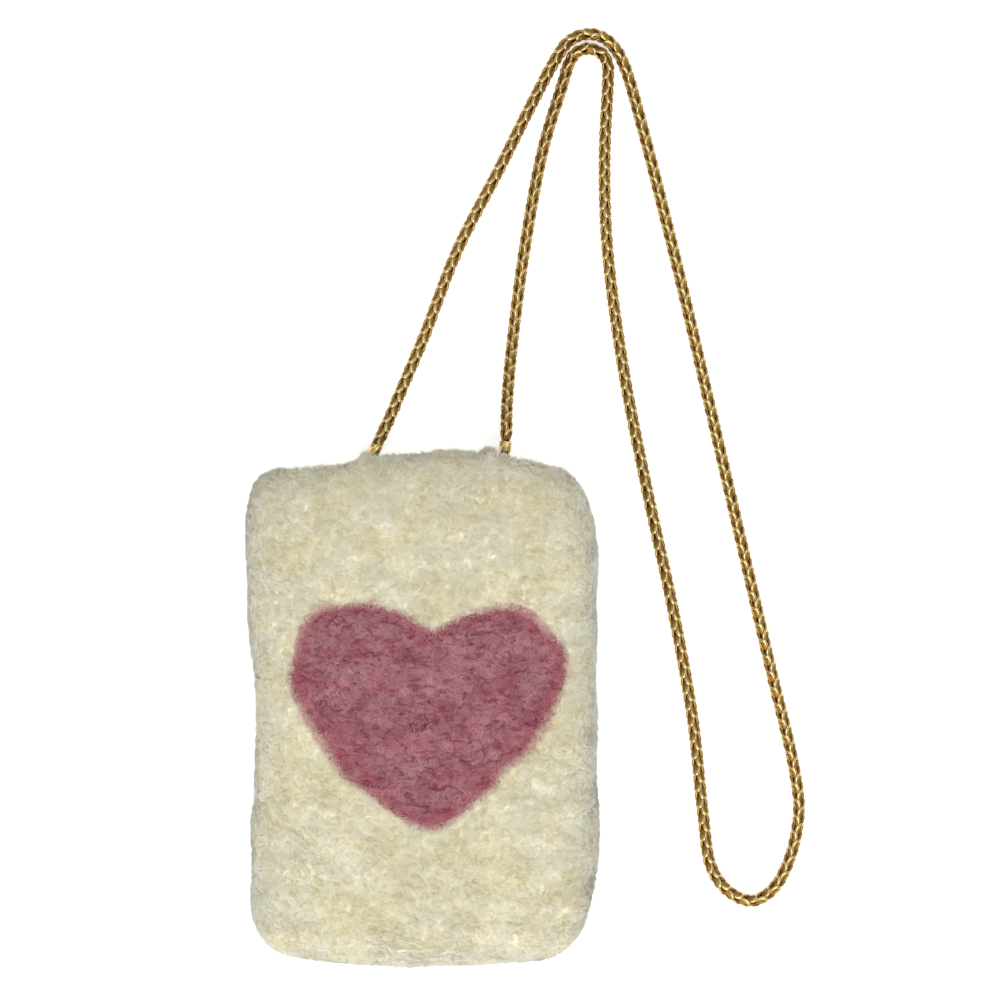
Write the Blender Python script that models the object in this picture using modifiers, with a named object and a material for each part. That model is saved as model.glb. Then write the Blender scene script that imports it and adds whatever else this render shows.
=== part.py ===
# Chain shoulder bag: a flat shearling pouch with a heart inlay, a zip inside its mouth
# and a long chain strap on two rings. Metres. The bag lies on its back:
# +X runs across it, +Y towards its mouth and +Z up, out of its front.
import math

import bmesh
import bpy
from mathutils import Matrix, Vector

COLLECTION = "chain_shoulder_bag"
CUTTERS = "cutters"

# Clearances
GAP = 0.0003  # between pieces that touch
OVERRUN = 0.004  # how far a cut runs past the face that it opens

# Body
BAG_WIDTH = 0.144
BAG_LENGTH = 0.208
BAG_THICKNESS = 0.036
EDGE_BAND = 0.014  # width of the rounded edge, seen from the front
CROWN = 0.0012  # how far the middle of the front stands above its edge band
PILE_WALL = 0.012  # skin and pile, from the outside to the pocket
POCKET_WIDTH = 0.110
POCKET_END = 0.014  # wool between the bottom edge and the pocket
POCKET_RADIUS = 0.012
LINING = 0.0007

# Heart inlay
HEART_WIDTH = 0.111
HEART_HEIGHT = 0.0905
HEART_X = 0.0029
HEART_Y = -0.0019

# Mouth facings, as distances from the zip's plane
FACING = 0.0010
FACING_ABOVE = 0.005
FACING_BELOW = 0.009

# Zip
ZIP_DEPTH = 0.018  # from the bag's top edge down to the zip's plane
ZIP_TAPE = 0.0006
TAPE_END = 0.0005  # tape kept back from each end of the mouth
TOOTH_PITCH = 0.0025
TOOTH_WIDTH = 0.0013
TOOTH_REACH = 0.0013
TOOTH_THICKNESS = 0.0020
ZIP_END_ROOM = 0.01125  # from the end of the mouth to the last tooth
TOOTH_TIP_SHARE = 0.6  # of the tooth's width
BEAD_WIDTH = 0.0010
STOP_LENGTH = 0.0022
STOP_THICKNESS = 0.0024

# Slider and puller
SLIDER_LENGTH = 0.009
SLIDER_PLATE = 0.0009
SLIDER_FLANGE = 0.0006
SLIDER_RADIUS = 0.0016
WEDGE_WIDTH = 0.0010
WEDGE_LENGTH = 0.0035
ARCH_LENGTH = 0.0052
ARCH_LEG = 0.0008
ARCH_WIDTH = 0.0016
ARCH_ROOM = 0.0024  # height of the gap under the arch
PULLER_LENGTH = 0.0142  # from its pivot to its tip
PULLER_WIDTH = 0.0050
PULLER_THICKNESS = 0.0012
PULLER_BAR = 0.0014  # cross bar under the arch
PULLER_SLOT = 0.0030
PULLER_RADIUS = 0.0007
PULLER_HOLE = 0.0024
PULLER_HOLE_EDGE = 0.0034  # from the hole's centre to the tip

# Strap tabs, rivets and D-rings
BAR_DEPTH = 0.0135  # from the bag's top edge down to the rings' bars
TAB_WIDTH = 0.009
TAB_LENGTH = 0.0125
TAB_LEATHER = 0.0009
TAB_NECK = 0.0045  # length over which the back ply closes up below the fold
RIVET_SHAFT = 0.0018
RIVET_HEAD = 0.0040
RIVET_HEAD_HEIGHT = 0.0007
RIVET_EDGE = 0.0030  # from the tab's end to the rivet
RING_WIRE = 0.0016
RING_REACH = 0.0058  # from the bar to the middle of the bow's wire
RING_CORNER_DEG = 12.0
LINK_WIRE = 0.0012
LINK_RADIUS = 0.0028
EYE_RADIUS = 0.0018
CAP_DIAMETER = 0.0052
CAP_LENGTH = 0.0050
CAP_NOSE = 0.0010
CAP_NOSE_DIAMETER = 0.0030

# Chain strap
CHAIN_DIAMETER = 0.0046
CHAIN_STEP = 0.0165  # longest run between two of the tube's points
CHAIN_SAG = 0.00035  # how far a run may leave its curve

# The outline, anticlockwise, as shares of half the bag's width and length.
OUTLINE_SHARES = [
    (0.14, 1.0),
    (-0.28, 0.968),
    (-0.62, 0.928),
    (-0.84, 0.908),
    (-0.945, 0.870),
    (-0.992, 0.79),
    (-1.0, 0.64),
    (-0.985, 0.42),
    (-0.95, 0.16),
    (-0.933, -0.04),
    (-0.944, -0.30),
    (-0.962, -0.56),
    (-0.965, -0.74),
    (-0.93, -0.865),
    (-0.84, -0.93),
    (-0.66, -0.975),
    (-0.30, -0.998),
    (0.10, -1.0),
    (0.50, -0.994),
    (0.74, -0.972),
    (0.865, -0.915),
    (0.93, -0.83),
    (0.985, -0.68),
    (1.0, -0.52),
    (0.985, -0.10),
    (0.99, 0.35),
    (0.99, 0.62),
    (0.965, 0.765),
    (0.90, 0.865),
    (0.78, 0.928),
    (0.55, 0.97),
]

# The heart, anticlockwise from its notch, as shares of half its width and height.
HEART_SHARES = [
    (0.02, 0.72),
    (-0.18, 0.91),
    (-0.38, 0.985),
    (-0.59, 1.0),
    (-0.79, 0.91),
    (-0.94, 0.66),
    (-1.0, 0.39),
    (-0.92, 0.04),
    (-0.72, -0.31),
    (-0.48, -0.66),
    (-0.20, -0.89),
    (0.02, -1.0),
    (0.24, -0.89),
    (0.50, -0.58),
    (0.77, -0.22),
    (0.93, 0.13),
    (1.0, 0.42),
    (0.95, 0.66),
    (0.80, 0.86),
    (0.60, 0.975),
    (0.38, 0.93),
    (0.19, 0.84),
]

# The chain's route on the table between its two end caps, from left to right.
CHAIN_ROUTE = [
    (-0.0130, 0.1155, 0.0092),
    (-0.0070, 0.1300, 0.0055),
    (0.0010, 0.1490, 0.0026),
    (0.0145, 0.1840, 0.0024),
    (0.0310, 0.2160, 0.0024),
    (0.0445, 0.2430, 0.0024),
    (0.0545, 0.2618, 0.0024),
    (0.0592, 0.2682, 0.0024),
    (0.0665, 0.2712, 0.0024),
    (0.0735, 0.2697, 0.0024),
    (0.0786, 0.2648, 0.0024),
    (0.0822, 0.2575, 0.0024),
    (0.0875, 0.2395, 0.0024),
    (0.1035, 0.1760, 0.0024),
    (0.1185, 0.1115, 0.0024),
    (0.1410, 0.0145, 0.0024),
    (0.1503, -0.0250, 0.0024),
    (0.1523, -0.0430, 0.0024),
    (0.1485, -0.0620, 0.0024),
    (0.1420, -0.0740, 0.0024),
    (0.1335, -0.0790, 0.0024),
    (0.1240, -0.0752, 0.0024),
    (0.1170, -0.0655, 0.0024),
    (0.1135, -0.0430, 0.0024),
    (0.1095, -0.0060, 0.0024),
    (0.1015, 0.0385, 0.0024),
    (0.0910, 0.0870, 0.0024),
    (0.0815, 0.1355, 0.0024),
    (0.0750, 0.1840, 0.0024),
    (0.0738, 0.2200, 0.0024),
    (0.0752, 0.2530, 0.0024),
    (0.0751, 0.2585, 0.0024),
    (0.0730, 0.2630, 0.0024),
    (0.0673, 0.2653, 0.0024),
    (0.0621, 0.2634, 0.0024),
    (0.0594, 0.2590, 0.0024),
    (0.0571, 0.2515, 0.0024),
    (0.0490, 0.2245, 0.0024),
    (0.0415, 0.1840, 0.0024),
    (0.0370, 0.1500, 0.0026),
    (0.0350, 0.1300, 0.0055),
    (0.0342, 0.1165, 0.0092),
]

# Where each strand is held, as a share of half the mouth's width, and its heading there.
STRAND_SHARES = {"left": -0.447, "right": 0.593}
STRAND_HEADINGS_DEG = {"left": 65.2, "right": 85.6}

# Colour, roughness and metallic value of each material
MATERIALS = {
    "cream_shearling": ((0.64, 0.60, 0.45), 0.95, 0.0),
    "pink_shearling": ((0.32, 0.13, 0.15), 0.95, 0.0),
    "lining_cloth": ((0.62, 0.55, 0.44), 0.80, 0.0),
    "cream_leather": ((0.66, 0.58, 0.44), 0.55, 0.0),
    "zip_tape": ((0.60, 0.54, 0.42), 0.85, 0.0),
    "gold_metal": ((0.80, 0.60, 0.28), 0.25, 1.0),
}

# Places worked out from the sizes above
HALF_WIDTH = BAG_WIDTH / 2
HALF_LENGTH = BAG_LENGTH / 2
MIDDLE = BAG_THICKNESS / 2
HALF_POCKET = MIDDLE - PILE_WALL
POCKET_BACK = MIDDLE - HALF_POCKET
POCKET_BOTTOM = POCKET_END - HALF_LENGTH
ZIP_Y = HALF_LENGTH - ZIP_DEPTH
FACING_TOP = ZIP_Y + FACING_ABOVE
FACING_BOTTOM = ZIP_Y - FACING_BELOW
FACING_INNER = HALF_POCKET - GAP - FACING
TOOTH_TIP = WEDGE_WIDTH / 2 + GAP
BEAD_INNER = TOOTH_TIP + TOOTH_REACH
BEAD_OUTER = BEAD_INNER + BEAD_WIDTH
FLANGE_INNER = BEAD_OUTER + GAP
SLIDER_HALF = FLANGE_INNER + SLIDER_FLANGE
CHANNEL_HALF = TOOTH_THICKNESS / 2 + GAP
SLIDER_TOP = CHANNEL_HALF + SLIDER_PLATE
PIVOT_HEIGHT = SLIDER_TOP + ARCH_ROOM / 2
TOOTH_COUNT = round((POCKET_WIDTH - 2 * ZIP_END_ROOM) / TOOTH_PITCH)
ZIP_HALF = TOOTH_PITCH * TOOTH_COUNT / 2
SLIDER_TRAVEL = 2 * ZIP_HALF - SLIDER_LENGTH
BAR_Y = HALF_LENGTH - BAR_DEPTH
FRONT_PLY_Z = POCKET_BACK - TAB_LEATHER / 2
BACK_PLY_Z = FRONT_PLY_Z - TAB_LEATHER - GAP
FOLD_RADIUS = TAB_LEATHER / 2 + GAP + RING_WIRE / 2
BAR_Z = FRONT_PLY_Z - FOLD_RADIUS
TAB_BOTTOM = BAR_Y - TAB_LENGTH
RIVET_Y = TAB_BOTTOM + RIVET_EDGE
RIVET_LOW = BACK_PLY_Z - TAB_LEATHER / 2 - GAP
RIVET_HIGH = MIDDLE - FACING_INNER + GAP
LINK_PLACE = RING_REACH - RING_WIRE / 2 - GAP + LINK_RADIUS - LINK_WIRE / 2
EYE_PLACE = LINK_PLACE + LINK_RADIUS - LINK_WIRE - GAP + EYE_RADIUS
CAP_START = EYE_PLACE + EYE_RADIUS - LINK_WIRE / 2
CAP_END = CAP_START + CAP_LENGTH
TUBE_START = math.hypot(CAP_END, CAP_DIAMETER / 2) + GAP / 2
STRANDS = {
    side: {"x": share * POCKET_WIDTH / 2, "heading_deg": STRAND_HEADINGS_DEG[side]}
    for side, share in STRAND_SHARES.items()
}
# The mouth's rims stand this far back from the outline, which is at the seam.
RIM_SETBACK = EDGE_BAND * (1 - math.sqrt(1 - (HALF_POCKET / MIDDLE) ** 2))


def clear_scene():
    for obj in list(bpy.data.objects):
        bpy.data.objects.remove(obj, do_unlink=True)


def make_collection(name):
    collection = bpy.data.collections.new(name)
    bpy.context.scene.collection.children.link(collection)
    return collection


def make_materials():
    made = {}
    for name, (color, roughness, metallic) in MATERIALS.items():
        material = bpy.data.materials.new(name)
        material.use_nodes = True
        shader = material.node_tree.nodes["Principled BSDF"]
        shader.inputs["Base Color"].default_value = (*color, 1.0)
        shader.inputs["Roughness"].default_value = roughness
        shader.inputs["Metallic"].default_value = metallic
        made[name] = material
    return made


# Curves and outlines


def between(a, b, low, high, at):
    """What lies between a, at low, and b, at high."""
    return a * ((high - at) / (high - low)) + b * ((at - low) / (high - low))


def smooth_point(before, start, end, after, share):
    """A point between start and end on the smooth curve through four points in turn.
    Its knots are the square roots of the distances, so a short span makes no kink."""
    knots = [0.0]
    for a, b in ((before, start), (start, end), (end, after)):
        knots.append(knots[-1] + math.sqrt((b - a).length))
    at = knots[1] + (knots[2] - knots[1]) * share
    first = between(before, start, knots[0], knots[1], at)
    middle = between(start, end, knots[1], knots[2], at)
    last = between(end, after, knots[2], knots[3], at)
    left = between(first, middle, knots[0], knots[2], at)
    right = between(middle, last, knots[1], knots[3], at)
    return between(left, right, knots[1], knots[2], at)


def smooth_loop(points, steps):
    """A closed smooth curve through the points, with so many steps to a span."""
    count = len(points)
    loop = []
    for i in range(count):
        around = [Vector(points[(i + k) % count]) for k in (-1, 0, 1, 2)]
        loop += [smooth_point(*around, step / steps) for step in range(steps)]
    return loop


def smooth_line(points, steps):
    """An open smooth curve through the points, with so many steps to a span."""
    ends = [points[0] * 2 - points[1]] + points + [points[-1] * 2 - points[-2]]
    line = []
    for i in range(len(points) - 1):
        line += [smooth_point(*ends[i : i + 4], step / steps) for step in range(steps)]
    return line + [points[-1]]


def fit_loop(loop, half_x, half_y):
    """The loop stretched to reach exactly half_x and half_y on each side."""
    xs = [p.x for p in loop]
    ys = [p.y for p in loop]
    middle_x = (max(xs) + min(xs)) / 2
    middle_y = (max(ys) + min(ys)) / 2
    scale_x = 2 * half_x / (max(xs) - min(xs))
    scale_y = 2 * half_y / (max(ys) - min(ys))
    return [Vector(((p.x - middle_x) * scale_x, (p.y - middle_y) * scale_y)) for p in loop]


def rounded_box(low_x, high_x, low_y, high_y, radius, steps=5):
    """The corners of a rectangle with round corners, anticlockwise."""
    centres = [
        (high_x - radius, high_y - radius, 0),
        (low_x + radius, high_y - radius, 90),
        (low_x + radius, low_y + radius, 180),
        (high_x - radius, low_y + radius, 270),
    ]
    points = []
    for x, y, first in centres:
        for step in range(steps + 1):
            angle = math.radians(first + 90 * step / steps)
            points.append((x + radius * math.cos(angle), y + radius * math.sin(angle)))
    return points


def circle(x, y, radius, steps=16):
    angles = [2 * math.pi * step / steps for step in range(steps)]
    return [(x + radius * math.cos(a), y + radius * math.sin(a)) for a in angles]


# Making objects


class Maker:
    """Makes the bag's objects and keeps the two collections and the materials."""

    def __init__(self):
        self.parts = make_collection(COLLECTION)
        self.cutters = make_collection(CUTTERS)
        self.materials = make_materials()

    def part(self, name, data, material):
        """A sub-part of the bag, at the origin."""
        obj = bpy.data.objects.new(name, data)
        self.parts.objects.link(obj)
        data.materials.clear()
        data.materials.append(self.materials[material])
        return obj

    def cutter(self, name, data):
        """A guide for a Boolean, which is no part of the bag."""
        obj = bpy.data.objects.new(name, data)
        self.cutters.objects.link(obj)
        obj.hide_render = True
        obj.display_type = "WIRE"
        return obj


def boolean(target, other, operation):
    modifier = target.modifiers.new(other.name, "BOOLEAN")
    modifier.operation = operation
    modifier.solver = "EXACT"
    modifier.object = other


def cut(target, other):
    boolean(target, other, "DIFFERENCE")


def join(target, other):
    boolean(target, other, "UNION")


def bevel(target, width, segments=2):
    modifier = target.modifiers.new("rounded_edges", "BEVEL")
    modifier.width = width
    modifier.segments = segments
    modifier.limit_method = "ANGLE"


def curve_mesh(curve):
    """The mesh that a curve draws, with its caps welded on."""
    holder = bpy.data.objects.new("curve_holder", curve)
    bpy.context.scene.collection.objects.link(holder)
    bpy.context.view_layer.update()
    evaluated = holder.evaluated_get(bpy.context.evaluated_depsgraph_get())
    mesh = bpy.data.meshes.new_from_object(evaluated)
    bpy.data.objects.remove(holder, do_unlink=True)
    bm = bmesh.new()
    bm.from_mesh(mesh)
    bmesh.ops.remove_doubles(bm, verts=bm.verts, dist=GAP / 100)
    bmesh.ops.recalc_face_normals(bm, faces=bm.faces)
    bm.to_mesh(mesh)
    bm.free()
    return mesh


def flat_mesh(name, outlines, thickness, plane="XY", shift=(0, 0, 0)):
    """A plate cut to the outlines, half of its thickness on each side of the plane."""
    curve = bpy.data.curves.new(name, "CURVE")
    curve.dimensions = "2D"
    curve.fill_mode = "BOTH"
    curve.extrude = thickness / 2
    for outline in outlines:
        spline = curve.splines.new("POLY")
        spline.points.add(len(outline) - 1)
        spline.use_cyclic_u = True
        for point, (x, y) in zip(spline.points, outline):
            point.co = (x, y, 0, 1)
    mesh = curve_mesh(curve)
    if plane == "XZ":
        mesh.transform(Matrix.Rotation(math.radians(90), 4, "X"))
    mesh.transform(Matrix.Translation(shift))
    return mesh


def box_mesh(name, low, high):
    """A plain box between two corners."""
    bm = bmesh.new()
    bmesh.ops.create_cube(bm, size=1)
    size = Vector(high) - Vector(low)
    bmesh.ops.scale(bm, vec=size, verts=bm.verts)
    bmesh.ops.translate(bm, vec=(Vector(high) + Vector(low)) / 2, verts=bm.verts)
    mesh = bpy.data.meshes.new(name)
    bm.to_mesh(mesh)
    bm.free()
    return mesh


def rod_mesh(name, centre, low_z, high_z, radius, sides=16):
    """A round rod that stands along Z."""
    bm = bmesh.new()
    bmesh.ops.create_cone(
        bm, cap_ends=True, segments=sides, radius1=radius, radius2=radius, depth=high_z - low_z
    )
    place = (centre[0], centre[1], (low_z + high_z) / 2)
    bmesh.ops.translate(bm, vec=place, verts=bm.verts)
    mesh = bpy.data.meshes.new(name)
    bm.to_mesh(mesh)
    bm.free()
    return mesh


def tube_curve(name, points, diameter, sides_level, closed=False):
    """A round wire along the points."""
    curve = bpy.data.curves.new(name, "CURVE")
    curve.dimensions = "3D"
    curve.bevel_depth = diameter / 2
    curve.bevel_resolution = sides_level
    curve.use_fill_caps = not closed
    spline = curve.splines.new("POLY")
    spline.points.add(len(points) - 1)
    spline.use_cyclic_u = closed
    for point, place in zip(spline.points, points):
        point.co = (*place, 1)
    return curve


def torus_mesh(name, radius, wire, turns=20, sides=8):
    """A round link in its own XY plane."""
    points = [(x, y, 0) for x, y in circle(0, 0, radius, turns)]
    curve = tube_curve(name, points, wire, (sides - 4) // 2, closed=True)
    return curve_mesh(curve)


def turned_mesh(name, profile, steps=20):
    """A solid turned about Z from a profile of (radius, height), listed from top to bottom."""
    mesh = bpy.data.meshes.new(name)
    points = [(radius, 0, height) for radius, height in profile]
    edges = [(i, i + 1) for i in range(len(points) - 1)]
    mesh.from_pydata(points, edges, [])
    holder = bpy.data.objects.new("profile_holder", mesh)
    bpy.context.scene.collection.objects.link(holder)
    screw = holder.modifiers.new("turn", "SCREW")
    screw.steps = steps
    screw.render_steps = steps
    screw.use_merge_vertices = True
    screw.merge_threshold = GAP / 100
    bpy.context.view_layer.update()
    evaluated = holder.evaluated_get(bpy.context.evaluated_depsgraph_get())
    turned = bpy.data.meshes.new_from_object(evaluated)
    bpy.data.objects.remove(holder, do_unlink=True)
    return turned


def smooth_shading(obj, angle_deg=40):
    mesh = obj.data
    mesh.shade_smooth()
    mesh.set_sharp_from_angle(angle=math.radians(angle_deg))


# Wool shells and heart


def bag_outline():
    """The outline at the seam, let out at the top so that the mouth's rims reach the length."""
    loop = smooth_loop([(x * HALF_WIDTH, y * HALF_LENGTH) for x, y in OUTLINE_SHARES], 3)
    loop = fit_loop(loop, HALF_WIDTH, HALF_LENGTH + RIM_SETBACK / 2)
    return [p + Vector((0, RIM_SETBACK / 2)) for p in loop]


def shell_mesh(name, seam_z, face_z, crown):
    """Half of the pouch: the outline at the seam, rounded over its edge band to a face.
    crown is how far the middle of the face stands above its edge."""
    outline = bag_outline()
    band_z = face_z - crown
    edge_steps = 6
    rings = []
    for step in range(edge_steps + 1):
        angle = math.radians(90) * step / edge_steps
        inset = EDGE_BAND * (1 - math.cos(angle))
        rings.append((inset, seam_z + (band_z - seam_z) * math.sin(angle)))
    if crown:
        crown_shares = (0.2, 0.45, 0.75)
        for share in crown_shares:
            inset = EDGE_BAND + (HALF_WIDTH - EDGE_BAND) * share
            rings.append((inset, face_z - crown * (1 - share) ** 2))

    bm = bmesh.new()
    loops = []
    for inset, z in rings:
        narrow = 1 - inset / HALF_WIDTH
        short = 1 - inset / HALF_LENGTH
        loops.append([bm.verts.new((p.x * narrow, p.y * short, z)) for p in outline])
    count = len(outline)
    for lower, upper in zip(loops, loops[1:]):
        for i in range(count):
            after = (i + 1) % count
            bm.faces.new((lower[i], lower[after], upper[after], upper[i]))
    bm.faces.new(reversed(loops[0]))
    if crown:
        centre = bm.verts.new((0, 0, face_z))
        for i in range(count):
            bm.faces.new((loops[-1][i], loops[-1][(i + 1) % count], centre))
    else:
        bm.faces.new(loops[-1])
    bmesh.ops.recalc_face_normals(bm, faces=bm.faces)
    mesh = bpy.data.meshes.new(name)
    bm.to_mesh(mesh)
    bm.free()
    return mesh


def heart_outline(margin):
    """The heart's outline, let out by the margin all round, or taken in if it is negative."""
    half_x = HEART_WIDTH / 2
    half_y = HEART_HEIGHT / 2
    loop = smooth_loop([(x * half_x, y * half_y) for x, y in HEART_SHARES], 3)
    fitted = fit_loop(loop, half_x + margin, half_y + margin)
    return [(p.x + HEART_X, p.y + HEART_Y) for p in fitted]


def pocket_outline(margin, top):
    """The pocket's plan, taken in by the margin, up to a given top."""
    half = POCKET_WIDTH / 2 - margin
    return rounded_box(-half, half, POCKET_BOTTOM + margin, top, POCKET_RADIUS - margin)


def make_shells(maker):
    past_top = HALF_LENGTH + POCKET_RADIUS + OVERRUN
    pocket = maker.cutter(
        "pocket_cut",
        flat_mesh(
            "pocket_cut", [pocket_outline(0, past_top)], 2 * HALF_POCKET, shift=(0, 0, MIDDLE)
        ),
    )

    heart_low = MIDDLE + HALF_POCKET
    heart_high = BAG_THICKNESS + OVERRUN
    heart_middle = (heart_low + heart_high) / 2
    hole = maker.cutter(
        "heart_cut",
        flat_mesh(
            "heart_cut",
            [heart_outline(GAP)],
            heart_high - MIDDLE,
            shift=(0, 0, (heart_high + MIDDLE) / 2),
        ),
    )
    plug = maker.cutter(
        "heart_plug",
        flat_mesh(
            "heart_plug",
            [heart_outline(0)],
            heart_high - heart_low,
            shift=(0, 0, heart_middle),
        ),
    )

    front_mesh = shell_mesh("front_shearling", MIDDLE + GAP / 2, BAG_THICKNESS, CROWN)
    front = maker.part("front_shearling", front_mesh, "cream_shearling")
    cut(front, pocket)
    cut(front, hole)
    smooth_shading(front)

    heart = maker.part("heart_inlay", front_mesh.copy(), "pink_shearling")
    boolean(heart, plug, "INTERSECT")
    smooth_shading(heart)

    back_mesh = shell_mesh("back_shearling", MIDDLE - GAP / 2, 0, 0)
    back = maker.part("back_shearling", back_mesh, "cream_shearling")
    cut(back, pocket)
    for side, strand in STRANDS.items():
        cut(back, tab_recess(maker, side, strand["x"]))
        cut(back, ring_notch(maker, side, strand))
    smooth_shading(back)


def tab_recess(maker, side, x):
    """The bed that the tab and its rivet's inner head lie in."""
    half = TAB_WIDTH / 2 + GAP
    floor = RIVET_LOW - RIVET_HEAD_HEIGHT - GAP
    low = (x - half, TAB_BOTTOM - GAP, floor)
    high = (x + half, BAR_Y, MIDDLE)
    name = f"tab_recess_{side}"
    return maker.cutter(name, box_mesh(name, low, high))


def ring_notch(maker, side, strand):
    """The way out for the ring, its link and the end of the chain."""
    half = RING_REACH + RING_WIRE / 2 + GAP
    lean = CAP_END * math.cos(math.radians(strand["heading_deg"]))
    chain_side = strand["x"] + lean + CAP_DIAMETER / 2 + GAP
    floor = BAR_Z - LINK_RADIUS - LINK_WIRE / 2 - GAP
    low = (strand["x"] - half, BAR_Y - TAB_NECK - GAP, floor)
    high = (max(strand["x"] + half, chain_side), HALF_LENGTH + OVERRUN, MIDDLE)
    name = f"ring_notch_{side}"
    return maker.cutter(name, box_mesh(name, low, high))


# Linings and facings


def make_lining(maker, name, sign):
    """A tray of lining cloth: sign is 1 for the front tray and -1 for the back one."""
    rim = MIDDLE + sign * GAP / 2
    outer = MIDDLE + sign * (HALF_POCKET - GAP)
    inner = outer - sign * LINING
    top = FACING_BOTTOM - GAP
    half = POCKET_WIDTH / 2 - GAP
    low_corner = POCKET_BOTTOM + GAP
    radius = POCKET_RADIUS - GAP
    plan = tray_plan(half, low_corner, top, radius)
    room = tray_plan(half - LINING, low_corner + LINING, top + OVERRUN, radius - LINING)
    past_rim = rim - sign * OVERRUN
    tray = maker.part(
        name,
        flat_mesh(name, [plan], abs(outer - rim), shift=(0, 0, (outer + rim) / 2)),
        "lining_cloth",
    )
    inside = maker.cutter(
        f"{name}_room",
        flat_mesh(name, [room], abs(inner - past_rim), shift=(0, 0, (inner + past_rim) / 2)),
    )
    cut(tray, inside)
    smooth_shading(tray)


def tray_plan(half, bottom, top, radius):
    """A plan with two round corners at its bottom and a straight edge at its top."""
    full = rounded_box(-half, half, bottom, top, radius)
    lower = full[len(full) // 2 :]
    return [(half, top), (-half, top)] + lower


def make_facing(maker, name, sign):
    """A leather strip on one wall of the mouth."""
    inner = MIDDLE + sign * FACING_INNER
    outer = inner + sign * FACING
    half = POCKET_WIDTH / 2 - GAP
    low = (-half, FACING_BOTTOM, min(inner, outer))
    high = (half, FACING_TOP, max(inner, outer))
    return maker.part(name, box_mesh(name, low, high), "cream_leather")


def make_mouth(maker):
    make_facing(maker, "mouth_facing_front", 1)
    back = make_facing(maker, "mouth_facing_back", -1)
    for side, strand in STRANDS.items():
        cut(back, rivet_hole(maker, f"facing_hole_{side}", strand["x"]))


def rivet_hole(maker, name, x):
    low = RIVET_LOW - OVERRUN
    high = RIVET_HIGH + OVERRUN
    radius = RIVET_SHAFT / 2 + GAP
    return maker.cutter(name, rod_mesh(name, (x, RIVET_Y), low, high, radius))


# Zip


def teeth_outline(offset):
    """A comb: a bead with teeth, whose places along the zip are shifted by the offset."""
    tip = TOOTH_WIDTH * TOOTH_TIP_SHARE / 2
    root = TOOTH_WIDTH / 2
    points = [(-ZIP_HALF, BEAD_INNER), (-ZIP_HALF, BEAD_OUTER)]
    points += [(ZIP_HALF, BEAD_OUTER), (ZIP_HALF, BEAD_INNER)]
    for i in reversed(range(TOOTH_COUNT)):
        x = (i + 1 / 2) * TOOTH_PITCH - ZIP_HALF + offset
        points += [(x + root, BEAD_INNER), (x + tip, TOOTH_TIP)]
        points += [(x - tip, TOOTH_TIP), (x - root, BEAD_INNER)]
    return points


def mirrored(points):
    return [(x, -y) for x, y in points]


def make_zip_half(maker, side, sign):
    """One side of the zip: sign is 1 towards the bag's front and -1 towards its back."""
    offset = sign * TOOTH_PITCH / 8
    teeth = teeth_outline(offset)
    zip_place = (0, ZIP_Y, MIDDLE)
    comb = flat_mesh(
        f"zip_teeth_{side}",
        [teeth if sign > 0 else mirrored(teeth)],
        TOOTH_THICKNESS,
        plane="XZ",
        shift=zip_place,
    )
    maker.part(f"zip_teeth_{side}", comb, "gold_metal")

    tape_half = POCKET_WIDTH / 2 - TAPE_END
    tape_edges = sorted((sign * (BEAD_OUTER + GAP), sign * (FACING_INNER - GAP)))
    low = (-tape_half, ZIP_Y - ZIP_TAPE / 2, MIDDLE + tape_edges[0])
    high = (tape_half, ZIP_Y + ZIP_TAPE / 2, MIDDLE + tape_edges[1])
    maker.part(f"zip_tape_{side}", box_mesh(f"zip_tape_{side}", low, high), "zip_tape")

    stop_edges = sorted((sign * TOOTH_TIP, sign * BEAD_OUTER))
    stop_end = -ZIP_HALF - GAP
    low = (stop_end - STOP_LENGTH, ZIP_Y - STOP_THICKNESS / 2, MIDDLE + stop_edges[0])
    high = (stop_end, ZIP_Y + STOP_THICKNESS / 2, MIDDLE + stop_edges[1])
    stop = maker.part(f"zip_top_stop_{side}", box_mesh("stop", low, high), "gold_metal")
    bevel(stop, GAP)


def make_bottom_stop(maker):
    """The staple that holds both rows together at the zip's open end."""
    start = ZIP_HALF + GAP
    low = (start, ZIP_Y - STOP_THICKNESS / 2, MIDDLE - BEAD_OUTER)
    high = (start + STOP_LENGTH, ZIP_Y + STOP_THICKNESS / 2, MIDDLE + BEAD_OUTER)
    stop = maker.part("zip_bottom_stop", box_mesh("stop", low, high), "gold_metal")
    bevel(stop, GAP)


def slider_cutters(maker):
    """The two channels for the rows of teeth, the slots for the tapes and the open tail."""
    half = SLIDER_LENGTH / 2 + OVERRUN
    made = []
    for side, sign in (("front", 1), ("back", -1)):
        across = sorted((sign * WEDGE_WIDTH / 2, sign * FLANGE_INNER))
        low = (-half, -CHANNEL_HALF, across[0])
        high = (half, CHANNEL_HALF, across[1])
        name = f"slider_channel_{side}"
        made.append(maker.cutter(name, box_mesh(name, low, high)))

        slot = ZIP_TAPE / 2 + GAP
        across = sorted((sign * BEAD_OUTER, sign * (SLIDER_HALF + OVERRUN)))
        low = (-half, -slot, across[0])
        high = (half, slot, across[1])
        name = f"slider_slot_{side}"
        made.append(maker.cutter(name, box_mesh(name, low, high)))
    tail = WEDGE_LENGTH - SLIDER_LENGTH / 2
    low = (tail, -CHANNEL_HALF, -BEAD_INNER)
    high = (half, CHANNEL_HALF, BEAD_INNER)
    made.append(maker.cutter("slider_tail", box_mesh("slider_tail", low, high)))
    return made


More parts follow.
